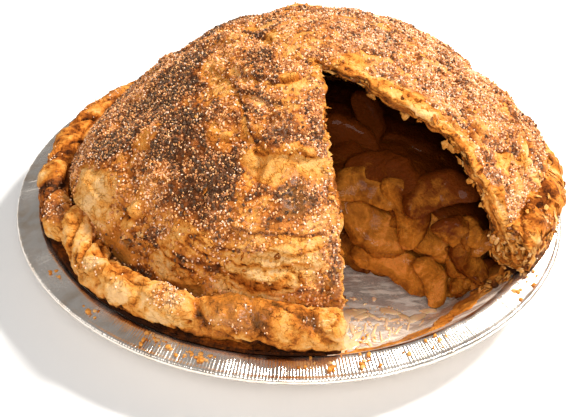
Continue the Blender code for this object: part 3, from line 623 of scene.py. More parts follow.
def cut_body(top, under, walls, strides):
    """Closed body over rays from the slice's tip: points, each point's row, column and depth, and faces."""
    points, places, faces = [], [], []

    def add(point, place):
        points.append(point)
        places.append(place)
        return len(points) - 1

    rows, columns = top.shape[:2]
    right_wall, left_wall = walls
    inner_steps = right_wall.shape[1]
    top_rows, under_rows, right_rows, left_rows = [], [], [], []
    for row in range(rows):
        used = range(0, columns, strides[row]) if row else [0]
        under_used = range(0, columns, strides[row] * UNDER_STRIDE) if row else [0]
        top_rows.append([add(top[row, column], (row, column, 0.0)) for column in used])
        depth = [(step + 1) / (inner_steps + 1) for step in range(inner_steps)]
        right_rows.append([add(right_wall[row, step], (row, 0, depth[step])) for step in range(inner_steps)])
        if row:
            left_rows.append([add(left_wall[row, step], (row, columns - 1, depth[step]))
                              for step in range(inner_steps)])
        else:
            left_rows.append(right_rows[0])
        under_rows.append([add(under[row, column], (row, column, 1.0)) for column in under_used])
    for row in range(rows - 1):
        faces += strip_faces(top_rows[row], top_rows[row + 1])
        faces += [face[::-1] for face in strip_faces(under_rows[row], under_rows[row + 1])]
        for side_rows, end in ((right_rows, 0), (left_rows, -1)):
            here = [top_rows[row][end]] + side_rows[row] + [under_rows[row][end]]
            below = [top_rows[row + 1][end]] + side_rows[row + 1] + [under_rows[row + 1][end]]
            side = strip_faces(here, below)
            faces += side if end else [face[::-1] for face in side]
    closing = right_rows[-1] + under_rows[-1] + left_rows[-1][::-1]
    faces += zip_faces(top_rows[-1], closing)
    return np.array(points), np.array(places, float), faces


def torn_layers(arc, depth, seed):
    """How far the sheets of a torn cut stand out, in metres, at distances along it and depths through it."""
    flat = np.zeros(np.broadcast(arc, depth).shape)
    uneven = 1.1 * ripple(stack(arc + flat, flat, flat), 12, seed)
    layer = np.floor(np.clip(depth, 0.0, 0.999) * 6 + uneven)
    across = layer * 37 * MM
    where = stack(arc + flat, across, flat)
    broad = ripple(stack(arc + flat, flat, flat), 9, seed + 3)
    out = 1.0 * ripple(where, 8, seed + 1) + 0.7 * ripple(where, 2.6, seed + 2) + 1.1 * broad
    return MM * (0.9 + out) * ease(arc / (10 * MM))


# Material helpers

def fill(tree, node, inputs):
    """Fill a node's inputs with values or with links. A colour is given as three numbers."""
    for key, value in inputs.items():
        if isinstance(value, bpy.types.NodeSocket):
            tree.links.new(value, node.inputs[key])
        elif value is not None:
            is_colour = node.inputs[key].type == "RGBA" and len(value) == 3
            node.inputs[key].default_value = (*value, 1.0) if is_colour else value
    return node


def put(tree, kind, inputs=None, **settings):
    """Add a node, set it and fill its inputs."""
    node = tree.nodes.new(kind)
    for key, value in settings.items():
        setattr(node, key, value)
    return fill(tree, node, inputs or {})


def shader_group(name, inputs, outputs):
    """An empty shader group with named sockets; gives the tree and its end nodes."""
    tree = bpy.data.node_groups.new(name, "ShaderNodeTree")
    kinds = {"value": "NodeSocketFloat", "colour": "NodeSocketColor"}
    for label, kind, default in inputs:
        socket = tree.interface.new_socket(label, in_out="INPUT", socket_type=kinds[kind])
        socket.default_value = default
    for label, kind in outputs:
        tree.interface.new_socket(label, in_out="OUTPUT", socket_type=kinds[kind])
    return tree, tree.nodes.new("NodeGroupInput"), tree.nodes.new("NodeGroupOutput")


def ramp(tree, factor, stops):
    """Colour ramp from (place, colour) stops."""
    node = put(tree, "ShaderNodeValToRGB", {"Fac": factor})
    elements = node.color_ramp.elements
    elements.remove(elements[-1])
    for index, (place, colour) in enumerate(stops):
        element = elements[0] if index == 0 else elements.new(place)
        element.position = place
        element.color = (*colour, 1.0)
    return node.outputs["Color"]


def mask(tree, value, black, white):
    """A ramp between two levels of a value, from black to white."""
    return ramp(tree, value, [(black, (0, 0, 0)), (white, (1, 1, 1))])


def mix_colour(tree, factor, first, second):
    return put(tree, "ShaderNodeMix", {0: factor, 6: first, 7: second}, data_type="RGBA").outputs[2]


def maths(tree, operation, first, second=None, third=None, clamp=False):
    node = put(tree, "ShaderNodeMath", {0: first, 1: second, 2: third}, operation=operation, use_clamp=clamp)
    return node.outputs[0]


def times(tree, first, second, clamp=False):
    return maths(tree, "MULTIPLY", first, second, clamp=clamp)


def plus(tree, first, second):
    return maths(tree, "ADD", first, second)


def minus(tree, first, second, clamp=False):
    return maths(tree, "SUBTRACT", first, second, clamp=clamp)


def scaled(tree, value, factor, shift, clamp=False):
    return maths(tree, "MULTIPLY_ADD", value, factor, shift, clamp)


def bump(tree, height, strength, distance):
    return put(tree, "ShaderNodeBump",
               {"Height": height, "Strength": strength, "Distance": distance}).outputs["Normal"]


def soft_inside(tree, shader, weight, radius, scale):
    """Light that spreads under the surface."""
    fill(tree, shader, {"Subsurface Weight": weight, "Subsurface Radius": radius, "Subsurface Scale": scale})


def noise(tree, where, scale, detail=3.0, roughness=0.55, distortion=0.0):
    node = put(tree, "ShaderNodeTexNoise", {"Vector": where, "Scale": scale, "Detail": detail,
                                            "Roughness": roughness, "Distortion": distortion})
    return node.outputs["Fac"]


def object_place(tree):
    return tree.nodes.new("ShaderNodeTexCoord").outputs["Object"]


def layer_value(tree, key):
    return put(tree, "ShaderNodeAttribute", attribute_name=key).outputs["Fac"]


def new_material(name):
    material = bpy.data.materials.new(name)
    material.use_nodes = True
    return material, material.node_tree, material.node_tree.nodes["Principled BSDF"]


def pastry_group():
    """Colour and height of baked pastry: freckles, blisters and melted sugar, with painted shade in crevices
    and between sugar grains and painted glints on some grains.
    """
    found = bpy.data.node_groups.get("baked_pastry")
    if found:
        return found
    tree, start, end = shader_group(
        "baked_pastry",
        [("Bake", "value", 0.4), ("Sugar", "value", 0.0), ("Grey", "value", 0.0), ("Amber", "value", 0.0)],
        [("Colour", "colour"), ("Height", "value"), ("Roughness", "value"), ("Gloss", "value")])
    bake, sugar, grey, amber = (start.outputs[label] for label in ("Bake", "Sugar", "Grey", "Amber"))
    where = object_place(tree)
    freckles = noise(tree, where, 900.0, 4.0, 0.65)
    blotches = noise(tree, where, 260.0, 3.0, 0.6, 0.6)
    push = put(tree, "ShaderNodeTexNoise", {"Vector": where, "Scale": 300.0, "Detail": 2.0}).outputs["Color"]
    moved = put(tree, "ShaderNodeVectorMath", {0: push, 1: (0.004, 0.004, 0.004)}, operation="MULTIPLY")
    moved = put(tree, "ShaderNodeVectorMath", {0: where, 1: moved.outputs[0]}, operation="ADD").outputs[0]
    plates = put(tree, "ShaderNodeTexVoronoi", {"Vector": moved, "Scale": 340.0}, feature="DISTANCE_TO_EDGE")
    # Painted shade: the crevices between the plates are darkened, as well as bumped down.
    crevice_shade = minus(tree, 1.0, times(tree, plates.outputs["Distance"], 9.0, True), True)
    crevice_shade = times(tree, crevice_shade, mask(tree, blotches, 0.46, 0.62))
    bake = plus(tree, bake, scaled(tree, freckles, 0.42, -0.21))
    bake = plus(tree, bake, times(tree, crevice_shade, 0.12))
    bake = plus(tree, bake, scaled(tree, blotches, 0.52, -0.26))
    colour = ramp(tree, bake, [
        (0.00, (0.80, 0.48, 0.21)), (0.16, (0.76, 0.39, 0.115)), (0.34, (0.70, 0.280, 0.048)),
        (0.52, (0.50, 0.150, 0.017)), (0.70, (0.235, 0.056, 0.006)), (0.86, (0.085, 0.020, 0.003)),
        (1.00, (0.032, 0.010, 0.004))])
    # Sugar cells: those picked as lit get a paler colour, partly the crystals' own and partly a painted
    # glint; those picked as shaded get a dark colour, painted shade between the grains.
    cells = put(tree, "ShaderNodeTexVoronoi", {"Vector": where, "Scale": 1050.0, "Randomness": 1.0})
    spot = put(tree, "ShaderNodeSeparateColor", {"Color": cells.outputs["Color"]})
    lit = maths(tree, "GREATER_THAN", spot.outputs["Red"], 0.60)
    shaded = maths(tree, "LESS_THAN", spot.outputs["Green"], 0.30)
    near_middle = minus(tree, 1.0, times(tree, cells.outputs["Distance"], 1.5, True))
    lit_crystal = times(tree, times(tree, lit, near_middle), sugar)
    grain_shade = times(tree, times(tree, shaded, sugar), 0.75)
    colour = mix_colour(tree, times(tree, sugar, 0.24), colour, (0.72, 0.31, 0.14))
    colour = mix_colour(tree, grain_shade, colour, (0.11, 0.030, 0.007))
    colour = mix_colour(tree, times(tree, lit_crystal, 0.50), colour, (0.90, 0.56, 0.32))
    colour = mix_colour(tree, times(tree, grey, mask(tree, freckles, 0.47, 0.60)), colour, (0.84, 0.62, 0.44))
    colour = mix_colour(tree, times(tree, amber, 0.55), colour, (0.60, 0.22, 0.03))
    height = plus(tree, times(tree, freckles, 0.45), times(tree, lit_crystal, 0.55))
    height = plus(tree, height, times(tree, blotches, 0.8))
    height = minus(tree, height, times(tree, crevice_shade, 0.40))
    rough = minus(tree, 0.66, times(tree, amber, 0.30))
    rough = minus(tree, rough, times(tree, lit_crystal, 0.30))
    fill(tree, end, {"Colour": colour, "Height": height, "Roughness": rough,
                     "Gloss": times(tree, amber, 0.5)})
    return tree


def pastry_material(name, strength):
    """Baked pastry that reads the bake, sugar, grey and amber layers of its piece."""
    found = bpy.data.materials.get(name)
    if found:
        return found
    material, tree, shader = new_material(name)
    layers = {label: layer_value(tree, label.lower()) for label in ("Bake", "Sugar", "Grey", "Amber")}
    group = tree.nodes.new("ShaderNodeGroup")
    group.node_tree = pastry_group()
    look = fill(tree, group, layers).outputs
    fill(tree, shader, {"Base Color": look["Colour"], "Roughness": look["Roughness"],
                        "Coat Weight": look["Gloss"],
                        "Coat Roughness": 0.22, "Specular IOR Level": 0.06,
                        "Normal": bump(tree, look["Height"], strength, 0.0020)})
    soft_inside(tree, shader, 0.04, (0.8, 0.35, 0.12), 0.002)
    return material


def sugar_material(name, light, dark, burnt):
    """Sugar crystals, from clear to caramel with the bake under them. Burnt darkens every grain."""
    material, tree, shader = new_material(name)
    tone, bake = layer_value(tree, "tone"), layer_value(tree, "bake")
    spread = times(tree, bake, scaled(tree, tone, 0.75, 0.15))
    share = plus(tree, spread, scaled(tree, tone, 0.45, -0.12))
    colour = ramp(tree, share, [(0.14 - 0.5 * burnt, light), (0.42 - burnt, (0.86, 0.42, 0.16)),
                                (0.64 - burnt, (0.46, 0.15, 0.034)), (0.95 - burnt, dark)])
    grain = noise(tree, object_place(tree), 2500.0, 2.0)
    fill(tree, shader, {"Base Color": mix_colour(tree, times(tree, grain, 0.12), colour, (1.0, 0.80, 0.55)),
                        "Roughness": scaled(tree, grain, 0.3, 0.16), "Specular IOR Level": 0.05})
    soft_inside(tree, shader, 0.1, (0.9, 0.6, 0.35), 0.001)
    return material


def apple_material(settings):
    """Cooked apple: tan flesh with fibres, browned and wet with syrup."""
    material, tree, shader = new_material("stewed_apple")
    where = object_place(tree)
    cloud = noise(tree, where, 120.0, 4.0, 0.6, 0.8)
    fine = noise(tree, where, 700.0, 3.0, 0.6)
    share = plus(tree, layer_value(tree, "tone"), scaled(tree, cloud, 1.5, -0.72))
    share = plus(tree, share, scaled(tree, fine, 0.50, -0.25))
    share = plus(tree, share, times(tree, layer_value(tree, "rind"), 0.20))
    flesh, syrup = tuple(settings.flesh_colour), tuple(settings.syrup_colour)
    middle = tuple(0.46 * a + 0.54 * b for a, b in zip(flesh, syrup))
    pale = tuple(min(1.0, a * 1.35 + 0.02) for a in flesh)
    fill(tree, shader,
         {"Base Color": ramp(tree, share, [(0.02, pale), (0.20, flesh), (0.48, middle), (0.80, syrup)]),
          "Roughness": scaled(tree, fine, 0.30, 0.30),
          "Coat Weight": 0.05, "Coat Roughness": 0.05,
          "Specular IOR Level": 0.03,
          "Normal": bump(tree, plus(tree, fine, times(tree, cloud, 1.4)), 0.8, 0.0014)})
    soft_inside(tree, shader, 0.12, (1.0, 0.45, 0.12), 0.003)
    return material


def juice_material(name, colour, deep):
    """Glossy cooked juice."""
    material, tree, shader = new_material(name)
    where = object_place(tree)
    cloud = noise(tree, where, 160.0, 4.0, 0.6, 0.5)
    fill(tree, shader, {"Base Color": ramp(tree, cloud, [(0.32, deep), (0.68, colour)]),
                        "Roughness": scaled(tree, cloud, 0.16,
                                            0.12), "Coat Weight": 0.8, "Coat Roughness": 0.06,
                        "Normal": bump(tree, noise(tree, where, 420.0, 2.0), 0.2, 0.0006)})
    soft_inside(tree, shader, 0.25, (1.0, 0.4, 0.1), 0.002)
    return material


def foil_material(name, settings, dullness):
    """Rolled foil with scratches, dents and a film of grease. Dullness is 0 for bright and 1 for scuffed."""
    material, tree, shader = new_material(name)
    where = object_place(tree)
    stretched = put(tree, "ShaderNodeMapping", {"Vector": where, "Scale": (1.0, 9.0, 1.0)}).outputs["Vector"]
    scratches = noise(tree, stretched, 900.0, 3.0, 0.7)
    film = noise(tree, where, 45.0, 4.0, 0.6, 0.6)
    dents = noise(tree, where, 150.0, 2.0, 0.5)
    colour = tuple(a * (1.0 - dullness * b) for a, b in zip(settings.foil_colour, (0.0, 0.08, 0.16)))
    warm = tuple(a * b for a, b in zip(colour, (0.90, 0.80, 0.70)))
    worn = tuple(a * (1.0 - 0.10 * dullness) for a in colour)
    sheet = ramp(tree, film, [(0.36, warm), (0.62, colour)])
    sheet = mix_colour(tree, ramp(tree, dents, [(0.40, (1, 1, 1)), (0.60, (0, 0, 0))]), sheet, worn)
    streak = times(tree, mask(tree, scratches, 0.42, 0.66), 0.8 * dullness)
    rough = plus(tree, times(tree, scratches, 0.16), scaled(tree, film, 0.34, -0.02 + 0.02 * dullness))
    swept = put(tree, "ShaderNodeMapping", {"Vector": where, "Rotation": (0.0, 0.0, 0.5),
                                            "Scale": (1.0, 4.5, 1.0)})
    smears = mask(tree, noise(tree, swept.outputs["Vector"], 60.0, 3.0, 0.6, 0.8), 0.48, 0.60)
    metal = scaled(tree, film, -0.6, 1.24 - 0.42 * dullness, True)
    height = plus(tree, times(tree, scratches, 0.12), dents)
    fill(tree, shader, {"Base Color": mix_colour(tree, streak, sheet, (1.0, 0.95, 0.88)), "Roughness": rough,
                        "Metallic": minus(tree, metal, times(tree, smears, 0.62 * dullness), True),
                        "Normal": bump(tree, height, 0.22 + 0.6 * dullness, 0.0010)})
    return material


# Placing pieces

def add_piece(name, mesh, material, replaced=None):
    """Put a finished mesh in the scene, riding on the pie's body."""
    piece = bpy.data.objects.new(name, mesh)
    bpy.context.scene.collection.objects.link(piece)
    if material:
        mesh.materials.append(material)
    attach(piece, BODY)
    if replaced:
        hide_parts(replaced)
    return piece


def crystal_tree():
    """Grains strewn over a surface: more where its cover layer is high, each turned and sized at random."""
    found = bpy.data.node_groups.get("strewn_crystals")
    if found:
        return found
    tree = bpy.data.node_groups.new("strewn_crystals", "GeometryNodeTree")
    for label, kind in (("Surface", "Geometry"), ("Density", "Float"), ("Cover Layer", "String"),
                        ("Smallest", "Float"), ("Largest", "Float"), ("Lift", "Float"), ("Seed", "Int"),
                        ("Finish", "Material")):
        tree.interface.new_socket(label, in_out="INPUT", socket_type="NodeSocket" + kind)
    tree.interface.new_socket("Grains", in_out="OUTPUT", socket_type="NodeSocketGeometry")
    given, end = tree.nodes.new("NodeGroupInput").outputs, tree.nodes.new("NodeGroupOutput")

    def chance(kind, least, most):
        """A random value, whose sockets' places depend on its kind."""
        return put(tree, "FunctionNodeRandomValue", {"Seed": given["Seed"], **least, **most}, data_type=kind)

    cover = put(tree, "GeometryNodeInputNamedAttribute", {"Name": given["Cover Layer"]}, data_type="FLOAT")
    density = put(tree, "ShaderNodeMath", {0: given["Density"], 1: cover.outputs["Attribute"]},
                  operation="MULTIPLY")
    strewn = put(tree, "GeometryNodeDistributePointsOnFaces",
                 {"Mesh": given["Surface"], "Density": density.outputs[0], "Seed": given["Seed"]})
    rise = put(tree, "ShaderNodeVectorMath", {0: strewn.outputs["Normal"], "Scale": given["Lift"]},
               operation="SCALE")
    lifted = put(tree, "GeometryNodeSetPosition",
                 {"Geometry": strewn.outputs["Points"], "Offset": rise.outputs[0]})
    grain = put(tree, "GeometryNodeMeshCube", {"Size": (1.0, 1.0, 1.0)})
    turn = chance("FLOAT_VECTOR", {}, {1: (6.28, 6.28, 6.28)})
    size = chance("FLOAT", {2: given["Smallest"]}, {3: given["Largest"]})
    shape = chance("FLOAT_VECTOR", {0: (0.7, 0.6, 0.5)}, {1: (1.7, 1.0, 0.95)})
    scale = put(tree, "ShaderNodeVectorMath", {0: shape.outputs[0], "Scale": size.outputs[1]},
                operation="SCALE")
    placed = put(tree, "GeometryNodeInstanceOnPoints",
                 {"Points": lifted.outputs["Geometry"], "Instance": grain.outputs["Mesh"],
                  "Rotation": turn.outputs[0], "Scale": scale.outputs[0]})
    tone = chance("FLOAT", {}, {})
    kept = put(tree, "GeometryNodeStoreNamedAttribute",
               {"Geometry": placed.outputs["Instances"], "Name": "tone", "Value": tone.outputs[1]},
               data_type="FLOAT", domain="INSTANCE")
    real = put(tree, "GeometryNodeRealizeInstances", {"Geometry": kept.outputs["Geometry"]})
    finish = put(tree, "GeometryNodeSetMaterial",
                 {"Geometry": real.outputs["Geometry"], "Material": given["Finish"]})
    fill(tree, end, {"Grains": finish.outputs["Geometry"]})
    return tree


def strew(name, surface, values):
    """Strew grains over a piece's surface and keep them as a plain mesh."""
    tree = crystal_tree()
    carrier = bpy.data.objects.new(name + "_carrier", surface)
    bpy.context.scene.collection.objects.link(carrier)
    modifier = carrier.modifiers.new("strew", "NODES")
    modifier.node_group = tree
    identifiers = {item.name: item.identifier for item in tree.interface.items_tree
                   if item.item_type == "SOCKET" and item.in_out == "INPUT"}
    for label, value in values.items():
        modifier[identifiers[label]] = value
    bpy.context.view_layer.update()
    graph = bpy.context.evaluated_depsgraph_get()
    mesh = bpy.data.meshes.new_from_object(carrier.evaluated_get(graph))
    modifier.node_group = None
    bpy.data.objects.remove(carrier, do_unlink=True)
    if len(mesh.polygons) == 0:
        raise RuntimeError(name + " came out empty")
    mesh.shade_flat()
    return add_piece(name, mesh, None)


# Top crust

def cut_rays(centre, outline, tip, sides, columns):
    """Cut lines, angles and ray ends of a body whose outline gives its radius about the centre."""
    def beyond(line):
        across, along = line[:, 0] - centre[0], line[:, 1] - centre[1]
        return np.hypot(across, along) >= outline(np.arctan2(along, across))

    right, left = (cut_to_edge(side, tip, beyond) for side in sides)
    angles = swept_angles(right[-1], left[-1], centre, columns + 1)
    return right, left, angles, centre + outline(angles)[:, None] * stack(np.cos(angles), np.sin(angles))


def level_net(reach, tip, sides, shares, columns):
    """Plan points of a round body's net, rows going out from the slice's tip, and their radius."""
    right, left, _, ends = cut_rays(np.zeros(2), lambda angle: reach + angle * 0.0, tip, sides, columns)
    plan = ray_plan(right, left, ends, np.tile(shares, (columns + 1, 1))).transpose(1, 0, 2)
    return plan, np.hypot(plan[..., 0], plan[..., 1])


def through(top, under, column, steps):
    """Even steps from the top to the underside down one cut's wall."""
    depth = np.linspace(0.0, 1.0, steps + 2)[None, 1:-1, None]
    return top[:, column][:, None, :] * (1.0 - depth) + under[:, column][:, None, :] * depth


def dome_net(rows, skirt_rows, columns):
    """Angle, steepness and run of each point of the dome's net, on rays from the slice's tip."""
    right, left, angles, ends = cut_rays(DOME_CENTRE, foot_radius, SLICE_TIP, BOTH_SIDES, columns)
    close = 1.0 - (1.0 - np.linspace(0.0, 1.0, 700)) ** 2
    fine = ray_plan(right, left, ends, np.tile(close, (columns + 1, 1)))
    surface = dome_point(*dome_coordinates(fine))
    steps = np.linalg.norm(np.diff(surface, axis=1), axis=-1)
    run = np.concatenate([np.zeros((columns + 1, 1)), np.cumsum(steps, axis=1)], axis=1)
    wanted = np.linspace(0.0, 1.0, rows + 1)
    shares = np.array([np.interp(wanted * run[i, -1], run[i], close) for i in range(columns + 1)])
    angle, steepness = dome_coordinates(ray_plan(right, left, ends, shares))
    steepness[:, -1] = 1.0
    angle[:, -1] = angles
    skirt = 1.0 + np.arange(1, skirt_rows + 1) / skirt_rows * 0.06
    angle = np.concatenate([angle, np.repeat(angles[:, None], skirt_rows, axis=1)], axis=1)
    steepness = np.concatenate([steepness, np.tile(skirt, (columns + 1, 1))], axis=1)
    run_length = np.concatenate([wanted * run[:, -1:], run[:, -1:] + (skirt - 1.0) / 0.06 * DOME_SKIRT],
                                axis=1)
    return np.unwrap(angle, axis=0).T, steepness.T, run_length.T


def skirt_shift(angle, steepness):
    """Beyond the foot the crust turns outwards, under the rolled edge."""
    share = np.clip((steepness - 1.0) / 0.06, 0.0, 1.0)[..., None]
    outward = stack(np.cos(angle), np.sin(angle), np.zeros_like(angle))
    return outward * DOME_SKIRT * share


def depth_way(angle, steepness):
    """The way down through the crust, from its outside to its inside."""
    dome = dome_outward(angle, np.minimum(steepness, 0.97))
    turned = ease((steepness - 0.95) / 0.05)[..., None]
    way = dome * (1.0 - turned) + np.array([0.0, 0.0, 1.0]) * turned
    return -way / np.linalg.norm(way, axis=-1, keepdims=True)


def gap_way(edge, side):
    """Level way out of a cut into the open slice at each point of its edge. Side is -1 for the left cut."""
    way = np.gradient(edge[:, :2], axis=0)
    way = way / np.maximum(np.linalg.norm(way, axis=-1, keepdims=True), 1e-9)
    out = stack(way[:, 1], -way[:, 0], way[:, 0] * 0.0) * side
    out[0] = out[1]
    return out


def build_dome():
    """The domed sheet with its relief, its torn cut faces and its plain inside."""
    rows, inner_steps = 164, 12
    angle, steepness, run = dome_net(rows, 6, 600)
    plain = dome_point(angle, steepness) + skirt_shift(angle, steepness)
    down = depth_way(angle, steepness)
    marks, bake, grey, amber, sugar, caramel = crust_marks(angle, np.minimum(steepness, 1.0), plain)
    relief = broad_relief(angle, steepness, dome_point(angle, steepness))
    fade = np.clip((1.06 - steepness) * 12.0, 0.0, 1.0)
    top = plain - down * (relief + marks * fade)[..., None]
    thickness = np.where(steepness > 1.0, 5.2 * MM, crust_thickness(steepness))
    inside = waves(plain, (0.6, 9, 93), (0.35, 4, 94))
    under = plain - down * relief[..., None] + down * (thickness + inside * fade)[..., None]
    walls = []
    for side, column, seed in ((1.0, 0, 101), (-1.0, -1, 111)):
        out = gap_way(plain[:, column], side)
        stands = torn_layers(run[:, column][:, None], np.linspace(0.0, 1.0, inner_steps + 2)[None, :], seed)
        top[:, column] += out * np.maximum(stands[:, 0], 0.0)[:, None]
        under[:, column] += out * np.maximum(stands[:, -1], 0.0)[:, None]
        walls.append(through(top, under, column, inner_steps) + out[:, None, :] * stands[:, 1:-1, None])
    share = run[:, 0] / run[rows, 0]
    strides = [8 if part < 0.11 else 4 if part < 0.22 else 2 if part < 0.46 else 1 for part in share]
    points, places, faces = cut_body(top, under, walls, strides)
    row, column = places[:, 0].astype(int), places[:, 1].astype(int)
    depth = places[:, 2]
    strata = stack(row * 0.9 * MM, depth * 60 * MM, depth * 0.0)
    crumb = 0.42 + 0.36 * ripple(strata, 7, 97) + 0.12 * ripple(points, 9, 98) + 0.46 * depth ** 1.4
    outside, inner = depth == 0.0, depth == 1.0
    # The inside of the sheet is painted very dark: painted shade of the hollow under the dome, partly a syrup
    # stain.
    layers = {
        "bake": np.where(outside, bake[row, column],
                         np.where(inner, 0.80 + 0.1 * ripple(points, 8, 99), crumb)),
        "amber": np.where(outside, amber[row, column], np.where(inner, 0.5, 0.15))}
    for key, values in (("sugar", sugar), ("caramel", caramel), ("grey", grey)):
        layers[key] = np.where(outside, values[row, column], 0.0)
    return mesh_from("crust_dome", points, faces, layers)


def roll_wave(degrees):
    turn = np.radians(degrees)
    return 1.2 * MM * (np.sin(turn * 5 + 0.6) + 0.6 * np.sin(turn * 9 + 2.1))


def front_roll_form(degrees):
    """Radius, half width and half height of the front roll."""
    tucked = np.maximum(0.0, 1.0 - (degrees - FRONT_ROLL_START) / 22)
    radius = FRONT_ROLL_RADIUS - 8.5 * MM * tucked ** 1.5 + roll_wave(degrees)
    half_width = ROLL_HALF_WIDTH + 0.8 * MM * np.sin(np.radians(degrees) * 7)
    knob = 2.4 * MM * near(degrees, -100, 6) + 2.0 * MM * near(degrees, FRONT_ROLL_START, 10)
    return radius, half_width, ROLL_HALF_HEIGHT + knob + 0.6 * MM * np.sin(np.radians(degrees) * 11)


def back_roll_form(degrees):
    """Radius, half width and half height of the back roll."""
    thick = near(degrees, -14, 34)
    narrow = near(degrees, 150, 36)
    radius = BACK_ROLL_RADIUS + 3.4 * MM * thick - 4.2 * MM * narrow + roll_wave(degrees)
    half_width = ROLL_HALF_WIDTH - 0.4 * MM + 3.6 * MM * thick
    half_height = ROLL_HALF_HEIGHT + 3.6 * MM * thick - 2.2 * MM * narrow
    return radius, half_width, half_height + 0.6 * MM * np.sin(np.radians(degrees) * 8)


def cut_azimuth(corners, reach):
    """Degrees round the tin's centre at which a cut side crosses a radius."""
    line = along_line([SLICE_TIP, *corners], np.linspace(0.0, 1.0, 600))
    return np.interp(reach, np.hypot(line[:, 0], line[:, 1]), np.degrees(np.arctan2(line[:, 1], line[:, 0])))


def roll_points(degrees, phases, form, round_end, ring_step):
    """Net of a roll's skin without its fine relief: points, and fullness of every ring."""
    radius, half_width, half_height = form(degrees)
    from_end = np.abs(degrees - round_end) / ring_step
    fullness = np.sin(math.pi / 2 * np.minimum(1.0, (from_end + 0.6) / 3))
    middle = ROLL_UNDERSIDE + ROLL_FLATTENED * half_height
    reach = radius[:, None] + np.cos(phases) * (half_width * fullness)[:, None]
    rise = middle[:, None] + np.sin(phases) * (half_height * fullness)[:, None]
    return reach, rise, fullness


